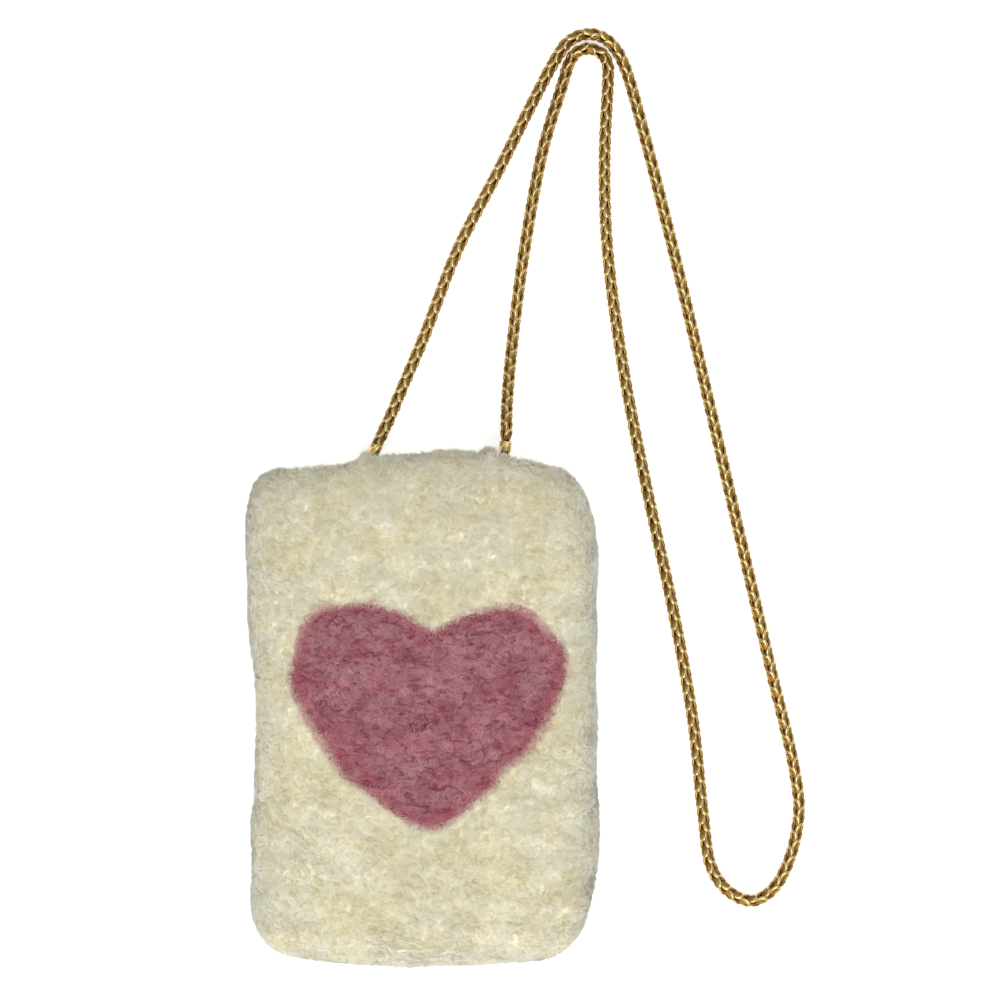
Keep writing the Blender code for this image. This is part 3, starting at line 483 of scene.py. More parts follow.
wool = {
    "halfSize": (0.072, 0.104, 0.018),
    "centre": (0, 0, 0.018),
    "voxel": 1.4 * mm,
    "skinDepth": 1.5 * mm,  # how far the felted base lies below the tips
    "fade": 8 * mm,  # how deep into cut walls that reaches
    "outerFacing": 0.2,  # what faces the pile's way at least so much is outside
    "woolly": {"weight": 0.8, "facing": -0.3},  # where wisps stand
    "tuftDensity": 4e5,  # places tried for a tuft, to a square metre
    "tuftGap": 3.4 * mm,
    "tuftRise": 0.5 * mm,
    "tuftRadius": 2.6 * mm,
    "tuftTip": 0.6 * mm,  # how far over a tuft its wisps would meet
    "length": (2.6 * mm, 3.8 * mm),
    "rootDepth": 0.5 * mm,  # how far in the skin wisps begin
    "wisp": 0.14 * mm,  # radius of a wisp at its root, and the shares it varies between
    "thickness": (0.7, 1.25),
    "bow": {"any": 0.45 * mm, "out": 0.5 * mm, "place": 0.55},  # how far wisps bend, and where
    "shortest": 0.6 * mm,
    "gather": 0.3,  # how far wisps lean to the middle of their tuft
    "gatherSpread": (0.5, 1.2),
    "lean": 1.6,
    "whorl": {"size": 9 * mm, "noise": 0.5, "strength": (0.6, 1.4)},  # which way they lean
    "shadeSpread": 0.18,  # how unlike in shade the wisps of a tuft are
    "crossing": {"heart": 1.3, "front": 1.1},  # how far wisps lean over the heart's edge
    "crossingWidth": 3.0 * mm,
    "crossingFull": 1.15,  # over 1, so that wisps right at the edge all lean that far
    "crossingLoose": 0.8,  # how much less they gather there
    "crossingWaves": {"size": 4 * mm, "rise": 0.7},  # how uneven that is
    "strays": 0.85,  # the most that a wisp at the edge takes of the other colour
    "rim": {"width": 2.4 * mm, "density": 5e6},  # more wisps along the edge
    "border": 14 * mm,  # how far in from the heart's edge the dye is stronger
    "swellSize": 17 * mm,  # broad, low swells in the pile, and how high they are
    "swellRise": 0.5 * mm,
    "seeds": {"swell": 70, "crossing": 40},
    "lowest": {"skin": 0.3 * mm, "wisp": 0.1 * mm},  # over the floor
    # Places on a wool's ramp from root to tip: the rose runs from dark at 0 to light at 1, and the
    # ivory is painted lighter at 0 against the shade between wisps. Of the skin between and on
    # tufts, and of a wisp at its root, bend and tip
    "tones": {"skin": (0.12, 0.25), "wisp": (0.15, 0.7, 1.0)},
    # How far the pile is shorn at the sides where x or y is low or high, at the lower and upper
    # corners, and at the back's rim, from a place on y and over a length
    "trim": {"low": (1.2 * mm, 0.9 * mm), "high": (0.8 * mm, 0.3 * mm),
             "corners": (1.6 * mm, 3.0 * mm), "backRim": 1.2 * mm,
             "backRimSpan": (70 * mm, 20 * mm)},
    # Where x is, the rise and the width of the tufts beside the chain's ends, and their span on y
    "bumps": [(-23.4 * mm, 4.4 * mm, 3.6 * mm), (28.4 * mm, 3.4 * mm, 3.0 * mm)],
    "bumpSpan": (92 * mm, 9 * mm),
    # What the bag lies on is pressed flat: how far down such pile faces, what is left there of
    # its own depth, rise and length, how much more it leans, and the share of wisps drawn
    "pressed": {"facing": -0.6, "depth": 0.4, "rise": 0.2, "length": 0.5, "lean": 2.5,
                "drawn": 0.45},
    "tabRoom": {"half": 9 * mm, "low": 78 * mm, "high": 98 * mm, "above": 5 * mm},  # no pile
    "soften": 0.86,  # share of the pile's own facing in a wisp's shading
    "density": {"front": 5.0e6, "heart": 5.4e6, "back": 2.6e6},  # wisps to a square metre
    "most": 19000,  # wisps in one piece
}


def waves(points, size, seed):
    # Smooth, seeded hills and hollows from about -1 to 1, and about size across
    draw = np.random.default_rng(seed)
    total = np.zeros(len(points))
    for _ in range(9):
        way = draw.normal(size=3)
        way *= draw.uniform(0.7, 1.6) / np.linalg.norm(way)
        total += np.sin(points @ way * math.pi / size + draw.uniform(0, 2 * math.pi))
    return total / 3.2  # nine waves seldom add up to more


def outward(points):  # the way the pile stands: the slope of a rounded box round the bag
    half = np.array(wool["halfSize"])
    power = np.array([8, 8, 2])  # square seen from above, and round in its thickness
    share = (points - np.array(wool["centre"])) / half
    slope = power * np.abs(share) ** (power - 1) * np.sign(share) / half
    slope[:, 2] += 1e-6  # so that it is never zero
    return unit(slope)


def evenMesh(name, voxel):  # a fine, even copy of a CAD solid
    holder = bpy.data.objects.new("holder", nodes[name].data.copy())
    scene.collection.objects.link(holder)
    remesh = holder.modifiers.new("even", "REMESH")
    remesh.mode = "VOXEL"
    remesh.voxel_size = voxel
    graph = bpy.context.evaluated_depsgraph_get()
    mesh = bpy.data.meshes.new_from_object(holder.evaluated_get(graph))
    bpy.data.objects.remove(holder)
    return mesh


def readVerts(mesh, name="co"):
    values = np.zeros(len(mesh.vertices) * 3, np.float32)
    mesh.vertices.foreach_get(name, values)
    return values.reshape(-1, 3).astype(float)


def treeOf(points):
    tree = KDTree(len(points))
    for i, p in enumerate(points):
        tree.insert(p, i)
    tree.balance()
    return tree


def nearest(tree, points):
    found = [tree.find(p) for p in points]
    return np.array([f[1] for f in found]), np.array([f[2] for f in found])


def thinOut(points, gap):  # keeps points that lie at least gap apart
    kept, cells = [], {}
    for i, p in enumerate(points):
        key = tuple(np.floor(p / gap).astype(int))
        near = [j for x in (-1, 0, 1) for y in (-1, 0, 1) for z in (-1, 0, 1)
                for j in cells.get((key[0] + x, key[1] + y, key[2] + z), ())]
        if not near or np.linalg.norm(points[near] - p, axis=1).min() > gap:
            kept.append(i)
            cells.setdefault(key, []).append(i)
    return points[kept]


# How many mm the heart's edge in the pile lies in (below 0) or out from the seam under it, at
# places given in degrees round its middle
heartEdge = {
    "middle": (2.8 * mm, 3.0 * mm),
    "width": 7 * mm,  # how far from the seam the pile moves with it
    "above": 24 * mm,  # the height from which it does
    "upright": 0.4,  # a wall faces up or down less than this
    "wallAbove": 30 * mm,  # where the two wools meet in the pile, and how far out at most
    "wallWithin": (60 * mm, 50 * mm),
    "pull": [(0, 0.2), (20, -0.4), (30, -2.8), (42, -1.6), (60, -2.8), (90, 0.2), (100, -1.4),
             (130, -2.7), (145, 0.3), (160, -3.0), (171, 0.2), (182, -2.0), (205, -0.4),
             (220, 0.9), (240, -2.3), (262, 0.4), (290, -1.4), (310, 0.2), (320, -1.6),
             (332, 0.8), (350, -0.6), (360, 0.2)],
}


def seamTree():  # the heart's side wall, flattened
    mesh = evenMesh("heart_inlay", wool["voxel"])
    points, normals = readVerts(mesh), readVerts(mesh, "normal")
    bpy.data.meshes.remove(mesh)
    return treeOf(points[abs(normals[:, 2]) < heartEdge["upright"]] * (1, 1, 0))


heartSeam = seamTree()


def heartShift(points):
    turn, pull = np.array(heartEdge["pull"]).T
    away = unit(points[:, :2] - np.array(heartEdge["middle"]))
    angle = np.degrees(np.arctan2(away[:, 1], away[:, 0])) % 360
    gap = nearest(heartSeam, points * (1, 1, 0))[1]
    share = np.exp(-(gap / heartEdge["width"]) ** 2)
    move = np.zeros(points.shape)
    move[:, :2] = away * (np.interp(angle, turn, pull) * share * mm)[:, None]
    return move


def lift(points, way, kind):
    # Broad swells, closer shearing at the sides and corners, and the front's tufts that puff up
    # beside each end of the chain
    trim = wool["trim"]
    offset = waves(points, wool["swellSize"], wool["seeds"]["swell"]) * wool["swellRise"]
    offset = way * offset[:, None]
    share = points[:, :2] / np.array(wool["halfSize"][:2])
    sides = np.where(way[:, :2] < 0, trim["low"], trim["high"])
    corner = np.where(share[:, 1] < 0, *trim["corners"])
    corner *= np.clip(np.abs(share), 0, 1).prod(1) ** 4
    offset[:, :2] -= way[:, :2] * (sides + corner[:, None])
    if kind != "back":
        offset += heartShift(points) * (points[:, 2:] > heartEdge["above"])
    if kind == "back":  # its rim stays behind the front's, seen from above
        begin, over = trim["backRimSpan"]
        rim = np.clip((points[:, 1] - begin) / over, 0, 1)
        offset[:, 1] -= np.clip(way[:, 1], 0, 1) * rim * trim["backRim"]
    if kind == "front":
        begin, over = wool["bumpSpan"]
        near = np.clip((points[:, 1] - begin) / over, 0, 1)
        for x, rise, width in wool["bumps"]:
            offset[:, 1] += near ** 2 * rise * np.exp(-((points[:, 0] - x) / width) ** 2)
    return offset


def openAir():  # everything that a ray from a woolly face could meet
    parts = []
    for name in ("front_shearling", "back_shearling", "heart_inlay"):
        data = nodes[name].data
        parts.append(([v.co.copy() for v in data.vertices], [p.vertices for p in data.polygons]))
    return BVHTree.FromPolygons(*joinParts(parts))


def makeSkin(node, air):
    # An even copy of a CAD solid, with what its points face and how much of the pile's shape
    # each takes: all of it outside, and less and less down into cut walls
    mesh = evenMesh(node, wool["voxel"])
    points, normals = readVerts(mesh), readVerts(mesh, "normal")
    start, far = 0.4 * mm, 0.25
    outer = np.array([
        air.ray_cast(Vector(p + n * start), Vector(n), far)[0] is None
        for p, n in zip(points, normals)])
    way = outward(points)
    outer &= (normals * way).sum(1) > wool["outerFacing"]
    weight = np.ones(len(points))
    tree = treeOf(points[outer])
    weight[~outer] = np.clip(1 - nearest(tree, points[~outer])[1] / wool["fade"], 0, 1)
    return mesh, points, normals, outer, way, weight


def samplePoints(mesh, points, wanted, density, draw):
    # Random places on the faces whose corners are all wanted
    mesh.calc_loop_triangles()
    tris = np.zeros(len(mesh.loop_triangles) * 3, np.int32)
    mesh.loop_triangles.foreach_get("vertices", tris)
    tris = tris.reshape(-1, 3)
    tris = tris[wanted[tris].all(1)]
    a, b, c = points[tris[:, 0]], points[tris[:, 1]], points[tris[:, 2]]
    area = np.linalg.norm(np.cross(b - a, c - a), axis=1) / 2
    count = int(area.sum() * density)
    pick = draw.choice(len(tris), count, p=area / area.sum())
    u, v = draw.random(count), draw.random(count)
    flip = u + v > 1
    u[flip], v[flip] = 1 - u[flip], 1 - v[flip]
    return a[pick] + (b[pick] - a[pick]) * u[:, None] + (c[pick] - a[pick]) * v[:, None]


def wispMesh(name, roots, middles, tips, radius, shade, stand):
    # Each wisp is a bent, three-sided spike: seven points, three sides below the bend and three
    # above it, and its base
    count = len(roots)
    ahead = unit(tips - roots)
    side = unit(np.cross(ahead, np.array([0.37, 0.61, 0.7])))  # a way that hardly any wisp points
    other = np.cross(ahead, side)
    rings = ring(roots, radius[:, None], side, other, 3)
    rings += ring(middles, radius[:, None] * 0.8, side, other, 3)
    verts = np.stack(rings + [tips], 1).reshape(-1, 3)
    loops = [0, 1, 4, 3, 1, 2, 5, 4, 2, 0, 3, 5, 3, 4, 6, 4, 5, 6, 5, 3, 6, 2, 1, 0]
    sizes = np.tile([4, 4, 4, 3, 3, 3, 3], count)
    corners = (np.arange(count)[:, None] * 7 + np.array(loops)[None]).ravel()
    mesh = bpy.data.meshes.new(name)
    mesh.vertices.add(len(verts))
    mesh.vertices.foreach_set("co", verts.astype(np.float32).ravel())
    mesh.loops.add(len(corners))
    mesh.loops.foreach_set("vertex_index", corners.astype(np.int32))
    mesh.polygons.add(len(sizes))
    starts = np.concatenate([[0], np.cumsum(sizes)[:-1]])
    mesh.polygons.foreach_set("loop_start", starts.astype(np.int32))
    mesh.update(calc_edges=True)
    mark(mesh, "pile", np.tile(np.repeat(wool["tones"]["wisp"], [3, 3, 1]), count))
    mark(mesh, "shade", np.repeat(shade, 7))
    # Light passes through a wisp, so its sides are lit nearly as the pile's face is
    soft = readVerts(mesh, "normal") * (1 - wool["soften"]) + np.repeat(
        stand, 7, 0) * wool["soften"]
    mesh.polygons.foreach_set("use_smooth", [True] * len(mesh.polygons))
    mesh.normals_split_custom_set_from_vertices(soft.tolist())
    return mesh


def pressed(flat, what):  # 1 where the pile stands free, and another share where it is pressed
    return np.where(flat, wool["pressed"][what], 1.0)


def tuftAt(tree, points):  # the tuft that each point belongs to, and how high it rises there
    near, away = nearest(tree, points)
    return near, wool["tuftRise"] * np.clip(1 - (away / wool["tuftRadius"]) ** 2, 0, 1)


def byTabs(points):
    room, beside = wool["tabRoom"], np.zeros(len(points), bool)
    for x in (chain["bar"]["left"][0], chain["bar"]["right"][0]):
        beside |= abs(points[:, 0] - x) < room["half"]
    return (beside & (points[:, 1] > room["low"]) & (points[:, 1] < room["high"])
            & (points[:, 2] > room["above"]))


def onHeartWall(points, normals, outer):
    across, tall = heartEdge["wallWithin"]
    return (~outer & (abs(normals[:, 2]) < heartEdge["upright"])
            & (points[:, 2] > heartEdge["wallAbove"])
            & (abs(points[:, 0]) < across) & (abs(points[:, 1]) < tall))


def wispLean(roots, stand, kind, wall, seed, draw):
    # The way that each wisp leans, and near the heart's edge, where the two wools lean over each
    # other, how close it is, its share of the other colour and its place in the border
    whorl, count = wool["whorl"], len(roots)
    drift = np.stack([waves(roots, whorl["size"], seed + k) for k in range(3)], 1)
    drift += draw.normal(scale=whorl["noise"], size=drift.shape)
    drift -= stand * (drift * stand).sum(1)[:, None]
    drift *= (draw.uniform(*whorl["strength"], count) / np.linalg.norm(drift, axis=1))[:, None]
    close, strays, borders = np.zeros((3, count))
    if kind in wool["crossing"]:
        places, normals = wall
        edge, gap = nearest(treeOf(places), roots)
        close = np.clip(wool["crossingFull"] - gap / wool["crossingWidth"], 0, 1)
        uneven = waves(roots, wool["crossingWaves"]["size"], wool["seeds"]["crossing"])
        uneven = 1 + wool["crossingWaves"]["rise"] * uneven
        over = normals[edge] * (1, 1, 0)
        drift += over * (wool["crossing"][kind] * close * uneven)[:, None]
        strays = wool["strays"] * close * draw.random(count)
        borders = np.clip(1 - gap / wool["border"], 0, 1)
    return drift, close, strays, borders


def makePile(name, kind, material, roots, tufts, wall, seed, draw):
    stand = outward(roots)
    flat = stand[:, 2] < wool["pressed"]["facing"]
    keep = ~flat | (draw.random(len(roots)) < wool["pressed"]["drawn"])
    roots, stand, flat = roots[keep], stand[keep], flat[keep]
    near, rise = tuftAt(tufts["tree"], roots)
    sunk = wool["skinDepth"] * pressed(flat, "depth")
    high = rise * pressed(flat, "rise") - sunk - wool["rootDepth"]
    start = roots + stand * high[:, None]
    start += lift(roots, stand, kind) * pressed(flat, "rise")[:, None]
    drift, close, strays, borders = wispLean(roots, stand, kind, wall, seed, draw)
    length = draw.uniform(*wool["length"], len(roots)) * pressed(flat, "length")
    heading = unit(stand + wool["lean"] * drift * pressed(flat, "lean")[:, None])
    free = start + heading * length[:, None]
    spots = tufts["places"]
    top = spots + outward(spots) * (wool["tuftRise"] + wool["tuftTip"])
    top = (top + lift(spots, outward(spots), kind))[near]
    low = spots[near] + wool["pressed"]["rise"] * (top - spots[near])
    top = np.where(flat[:, None], low, top)
    pull = wool["gather"] * draw.uniform(*wool["gatherSpread"], len(roots))
    pull = (pull * (1 - wool["crossingLoose"] * close))[:, None]
    tips = free * (1 - pull) + top * pull
    along = tips - start
    reach = np.linalg.norm(along, axis=1)
    along /= reach[:, None]
    bow = wool["bow"]
    bend = draw.normal(scale=bow["any"], size=roots.shape) + stand * bow["out"]
    middles = start * (1 - bow["place"]) + tips * bow["place"]
    middles += bend - along * (bend * along).sum(1)[:, None]
    for points in (start, middles, tips):
        points[:, 2] = np.maximum(points[:, 2], wool["lowest"]["wisp"])
    radius = wool["wisp"] * draw.uniform(*wool["thickness"], len(roots))
    shade = tufts["shade"][near] + draw.normal(scale=wool["shadeSpread"], size=len(roots))
    shade = np.clip(shade, 0, 1)
    order = np.argsort(roots[:, 1])
    order = order[reach[order] > wool["shortest"]]
    parts = int(math.ceil(len(order) / wool["most"]))
    for part, picked in enumerate(np.array_split(order, parts)):
        title = f"{name}_pile_{part + 1}"
        pile = wispMesh(title, start[picked], middles[picked], tips[picked],
                        radius[picked], shade[picked], stand[picked])
        mark(pile, "stray", np.repeat(strays[picked], 7))
        mark(pile, "border", np.repeat(borders[picked], 7))
        dressPiece(title, pile, material, "bag")
    return len(order)


def makeWool(name, node, kind, material, air, seed):
    draw = np.random.default_rng(seed)
    mesh, points, normals, outer, way, weight = makeSkin(node, air)
    below = way[:, 2] < wool["pressed"]["facing"]
    woolly = weight > wool["woolly"]["weight"]
    woolly &= (normals * way).sum(1) > wool["woolly"]["facing"]
    if kind == "back":
        woolly &= ~byTabs(points)
    places = thinOut(samplePoints(mesh, points, woolly, wool["tuftDensity"], draw),
                     wool["tuftGap"])
    tufts = {"places": places, "tree": treeOf(places), "shade": draw.random(len(places))}
    near, rise = tuftAt(tufts["tree"], points)
    depth = pressed(below, "depth") * wool["skinDepth"]
    swell = rise * weight * pressed(below, "rise")
    shift = lift(points, way, kind) * (weight * pressed(below, "rise"))[:, None]
    moved = points + way * (swell - depth * weight)[:, None] + shift
    moved[:, 2] = np.maximum(moved[:, 2], wool["lowest"]["skin"])
    mesh.vertices.foreach_set("co", moved.astype(np.float32).ravel())
    least, more = wool["tones"]["skin"]
    mark(mesh, "pile", least + more * rise / wool["tuftRise"])
    mark(mesh, "shade", tufts["shade"][near])
    skin = dressPiece(name, mesh, material, "bag")
    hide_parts(node)

    roots = samplePoints(mesh, points, woolly, wool["density"][kind], draw)
    onWall = onHeartWall(points, normals, outer)
    wall = (points[onWall], normals[onWall])
    if kind in wool["crossing"]:
        away = nearest(treeOf(wall[0]), points)[1]
        mark(mesh, "border", np.clip(1 - away / wool["border"], 0, 1))
        rim = woolly & (away < wool["rim"]["width"])
        more = samplePoints(mesh, points, rim, wool["rim"]["density"], draw)
        roots = np.concatenate([roots, more])
    wisps = makePile(name, kind, material, roots, tufts, wall, seed, draw)
    print(f"{name}: {len(points)} points of skin, {len(places)} tufts, {wisps} wisps")


def woolMaterial(name, colours):
    # Shorn wool: matt, with a soft sheen at the rims. Light that would seep from wisp to wisp is
    # painted in: a ramp from root to tip can paint the roots lighter, and another tints the pile
    # by the way it faces.
    material, tree, shader = newMaterial(name, {
        "Roughness": 0.95, "IOR": 1.55, "Specular IOR Level": 0.25,
        "Sheen Weight": 0.12, "Sheen Roughness": 0.5,
    })
    place = addNode(tree, "ShaderNodeTexCoord")
    pile, shade, border, stray = (
        addNode(tree, "ShaderNodeAttribute", {"attribute_name": each}).outputs["Fac"]
        for each in ("pile", "shade", "border", "stray"))
    stretch = addNode(tree, "ShaderNodeMapping", None,
                      {"Vector": place.outputs["Object"], "Scale": colours["stretch"]})
    mottle = addNode(tree, "ShaderNodeTexNoise", None,
                     {"Vector": stretch.outputs[0], "Scale": 1 / colours["mottle"],
                      "Detail": 3.0, "Roughness": 0.6})
    speck = addNode(tree, "ShaderNodeTexNoise", None,
                    {"Vector": stretch.outputs[0], "Scale": 1 / colours["speck"],
                     "Detail": 3.0, "Distortion": 1.2})
    # Painted light: the pile is tinted by the way it faces, warmer on top and cooler on its flanks
    surface = addNode(tree, "ShaderNodeNewGeometry")
    flank = addNode(tree, "ShaderNodeSeparateXYZ", None, {0: surface.outputs["Normal"]})
    every = addNode(tree, "ShaderNodeValToRGB", {"stops": colours["depth"]},
                    {"Fac": pile}).outputs["Color"]
    for socket, stops in ((shade, "tufts"), (mottle.outputs[0], "patches"),
                          (speck.outputs[0], "specks"), (border, "borders"),
                          (flank.outputs["Z"], "paintedFacingTint")):
        layer = addNode(tree, "ShaderNodeValToRGB", {"stops": colours[stops]}, {"Fac": socket})
        every = addNode(tree, "ShaderNodeMix", multiplyColours,
                        {0: 1.0, 6: every, 7: layer.outputs["Color"]}).outputs[2]
    mixed = addNode(tree, "ShaderNodeMix", blendColours,
                    {0: stray, 6: every, 7: linear(colours["other"])})
    tree.links.new(mixed.outputs[2], shader.inputs["Base Color"])
    return material


ivoryWool = woolMaterial("sheepskin_ivory", {
    # Painted light: roots and skin lighter than the tips, against the shade that falls between
    # wisps
    "depth": [(0.0, "FBFAF3"), (0.5, "F8F7EE"), (1.0, "F5F4E9")],
    "tufts": [(0.0, "FAF9F5"), (1.0, "FFFFFF")],
    "patches": [(0.3, "FCF8EA"), (0.6, "FFFFFF")],
    "specks": [(0.36, "F0E9D9"), (0.52, "FFFFFF")],
    "borders": [(0.8, "FFFFFF"), (1.0, "ECCFC8")],
    # Painted light: pile facing up warmer than the flanks, which stay cooler as if in shade
    "paintedFacingTint": [(0.5, "FFFFFF"), (0.98, "FDFAEC")],
    "other": "C99AA0",
    "mottle": 14 * mm,
    "speck": 2.8 * mm,
    "stretch": (0.8, 1, 1),
})
pinkWool = woolMaterial("sheepskin_dyed_rose", {
    "depth": [(0.0, "AD6470"), (0.5, "C68A93"), (1.0, "CCA0A6")],
    "tufts": [(0.0, "E8DCE0"), (1.0, "FFFFFF")],
    "patches": [(0.35, "F2DCE0"), (0.6, "FFFFFF")],
    "specks": [(0.36, "D0A2AD"), (0.5, "FFFFFF")],
    "borders": [(0.45, "FFFFFF"), (0.9, "FFE0E4")],
    "paintedFacingTint": [(0.5, "FFFFFF"), (0.95, "FFFFFF")],
    "other": "D8B8B0",
    "mottle": 8 * mm,
    "speck": 2.6 * mm,
    "stretch": (0.6, 1, 1),
})

openSpace = openAir()
makeWool("front_wool", "front_shearling", "front", ivoryWool, openSpace, 3)
makeWool("heart_wool", "heart_inlay", "heart", pinkWool, openSpace, 5)
makeWool("back_wool", "back_shearling", "back", ivoryWool, openSpace, 8)


# Inside of the bag: lining, leather facings, zip tapes and strap tabs

def clothMaterial(name, colour, other, weave):
    # Plain weave of cotton: crossed threads in relief, slightly uneven in colour. It is drawn
    # about 2 mm from thread to thread, some four times a real one, so that it shows.
    material, tree, shader = newMaterial(name, {"Roughness": 0.9, "Sheen Weight": 0.15})
    place = addNode(tree, "ShaderNodeTexCoord")
    scale = 2 * math.pi / 20 / weave  # Blender's bands repeat after 2 pi / 20 at a scale of 1
    threads = [addNode(tree, "ShaderNodeTexWave", {"bands_direction": direction}, {
        "Vector": place.outputs["Object"], "Scale": scale,
        "Distortion": 0.6, "Detail": 1.0}).outputs["Fac"] for direction in ("X", "Y")]
    raised = addNode(tree, "ShaderNodeMath", {"operation": "MULTIPLY"},
                     {0: threads[0], 1: threads[1]}).outputs[0]
    uneven = addNode(tree, "ShaderNodeTexNoise", None,
                     {"Vector": place.outputs["Object"], "Scale": 1 / (12 * mm), "Detail": 3.0})
    tone = addNode(tree, "ShaderNodeMix", blendColours,
                   {0: uneven.outputs[0], 6: linear(colour), 7: linear(other)})
    # Painted shade: the gaps between the raised threads are darker
    threadGapShade = addNode(tree, "ShaderNodeMix", blendColours,
                   {0: raised, 6: linear("C8C8C8"), 7: linear("FFFFFF")})
    both = addNode(tree, "ShaderNodeMix", multiplyColours,
                   {0: 1.0, 6: tone.outputs[2], 7: threadGapShade.outputs[2]})
    tree.links.new(both.outputs[2], shader.inputs["Base Color"])
    bump = addNode(tree, "ShaderNodeBump", None,
                   {"Height": raised, "Strength": 0.5, "Distance": 0.1 * mm})
    tree.links.new(bump.outputs[0], shader.inputs["Normal"])
    return material


def leatherMaterial():
    # Split leather with a pebbled, matt finish: fine cells in relief, with painted shade in the
    # creases between them, so their tops are paler
    material, tree, shader = newMaterial("split_leather_ivory", {
        "Roughness": 0.55, "Coat Weight": 0.05})
    place = addNode(tree, "ShaderNodeTexCoord")
    cells = addNode(tree, "ShaderNodeTexVoronoi", {"feature": "SMOOTH_F1"},
                    {"Vector": place.outputs["Object"], "Scale": 1 / (0.8 * mm)})
    fine = addNode(tree, "ShaderNodeTexNoise", None,
                   {"Vector": place.outputs["Object"], "Scale": 1 / (4 * mm), "Detail": 5.0})
    tone = addNode(tree, "ShaderNodeValToRGB", {"stops": [(0.3, "D5C7A6"), (0.7, "E4DAC0")]},
                   {"Fac": fine.outputs[0]})
    # Painted shade: darker in the creases between the cells
    creaseShade = addNode(tree, "ShaderNodeValToRGB", {"stops": [(0.2, "FFFFFF"), (0.7, "C9BDA4")]},
                     {"Fac": cells.outputs["Distance"]})
    both = addNode(tree, "ShaderNodeMix", multiplyColours,
                   {0: 1.0, 6: tone.outputs["Color"], 7: creaseShade.outputs["Color"]})
    tree.links.new(both.outputs[2], shader.inputs["Base Color"])
    bump = addNode(tree, "ShaderNodeBump", {"invert": True}, {
        "Height": cells.outputs["Distance"], "Strength": 0.6, "Distance": 0.15 * mm})
    tree.links.new(bump.outputs[0], shader.inputs["Normal"])
    return material


def threadMaterial():
    # Waxed polyester thread: two plies, seen as slanting ridges, drawn several times as long as
    # real ones, which wouldn't show
    material, tree, shader = newMaterial("waxed_thread_ivory", {"Roughness": 0.5})
    place = addNode(tree, "ShaderNodeTexCoord")
    scale = 2 * math.pi / 10 / (3.77 * mm)  # diagonal bands repeat after 2 pi / 10
    ply = addNode(tree, "ShaderNodeTexWave", {"bands_direction": "DIAGONAL"}, {
        "Vector": place.outputs["Object"], "Scale": scale})
    # Painted shade: darker in the grooves between the plies
    tone = addNode(tree, "ShaderNodeValToRGB", {"stops": [(0.2, "BDAE8A"), (0.7, "EDE5CE")]},
                   {"Fac": ply.outputs["Fac"]})
    tree.links.new(tone.outputs["Color"], shader.inputs["Base Color"])
    bump = addNode(tree, "ShaderNodeBump", None,
                   {"Height": ply.outputs["Fac"], "Strength": 0.5, "Distance": 0.1 * mm})
    tree.links.new(bump.outputs[0], shader.inputs["Normal"])
    return material


mouth = {
    "halfWidth": 54.7 * mm,
    "seam": 18 * mm,  # height of the bag's middle plane
}


def stripSection(width, thick, radius):  # a rectangle with round corners, as (u, v) points
    points = []
    for turn, (sx, sy) in enumerate(((1, 1), (-1, 1), (-1, -1), (1, -1))):
        for step in range(5):
            angle = math.radians(90 * turn + 22.5 * step)
            points.append((sx * (width / 2 - radius) + radius * math.cos(angle),
                           sy * (thick / 2 - radius) + radius * math.sin(angle)))
    return np.array(points)


lining = {
    "bottom": -89.7 * mm,
    "top": 76.7 * mm,
    "corner": 11.7 * mm,
    "wall": 5.4 * mm,  # height of the tray's walls
    "cloth": 0.4 * mm,
    "floor": {"front": 23.55 * mm, "back": 12.45 * mm},
    "fold": {"rise": 0.7 * mm, "size": 9 * mm, "stretch": 0.35},  # long, slack folds
    "tight": 0.2,  # the share of its half width in which the folds fade out
    "wallSteps": 5,
    "rows": 60,
    "crowding": 1.3,  # how much closer rows lie at the bottom
    "columns": 44,
    "cut": 80 * mm ** 2,  # what its two round lower corners take off the flat sheet
}


def makeLining(side, sign, material):
    bottom, top, corner, steps = (lining[k] for k in ("bottom", "top", "corner", "wallSteps"))
    rows = [(bottom, 1 - i / steps) for i in range(steps)]
    rows += [(bottom + (top - bottom) * (i / lining["rows"]) ** lining["crowding"], 0)
             for i in range(lining["rows"] + 1)]
    columns = [(-1, 1 - i / steps) for i in range(steps)]
    columns += [(-1 + 2 * i / lining["columns"], 0) for i in range(lining["columns"] + 1)]
    columns += [(1, (i + 1) / steps) for i in range(steps)]
    verts, faces = [], []
    for y, high in rows:
        left = max(bottom + corner - y, 0)
        half = mouth["halfWidth"] - corner + math.sqrt(max(corner ** 2 - left ** 2, 0))
        for share, wall in columns:
            verts.append((half * share, y, max(high, wall)))
    verts = np.array(verts)
    # Slack away from the walls and the top, where it is sewn
    inner = np.clip((1 - abs(verts[:, 0]) / mouth["halfWidth"]) / lining["tight"], 0, 1)
    inner *= np.clip((verts[:, 1] - bottom) / corner, 0, 1) * np.clip(
        (top - verts[:, 1]) / corner, 0, 1)
    fold = lining["fold"]
    slack = 0.5 + 0.5 * waves(verts * (1, fold["stretch"], 0), fold["size"], 12 + sign)
    high = lining["wall"] * verts[:, 2] + fold["rise"] * slack * inner
    verts[:, 2] = lining["floor"][side] - sign * high
    count = len(columns)
    for i in range(len(rows) - 1):
        for a in range(i * count, (i + 1) * count - 1):
            faces.append((a, a + 1, a + count + 1, a + count))
    name = f"lining_{side}_cloth"
    piece = newPiece(name, verts, faces, material, "bag", "lining_cloth")
    piece.modifiers.new("soft", "SUBSURF").levels = 1
    piece.modifiers["soft"].render_levels = 1
    cloth = piece.modifiers.new("cloth", "SOLIDIFY")
    cloth.thickness = lining["cloth"]
    cloth.offset = 0
    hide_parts(f"lining_{side}")


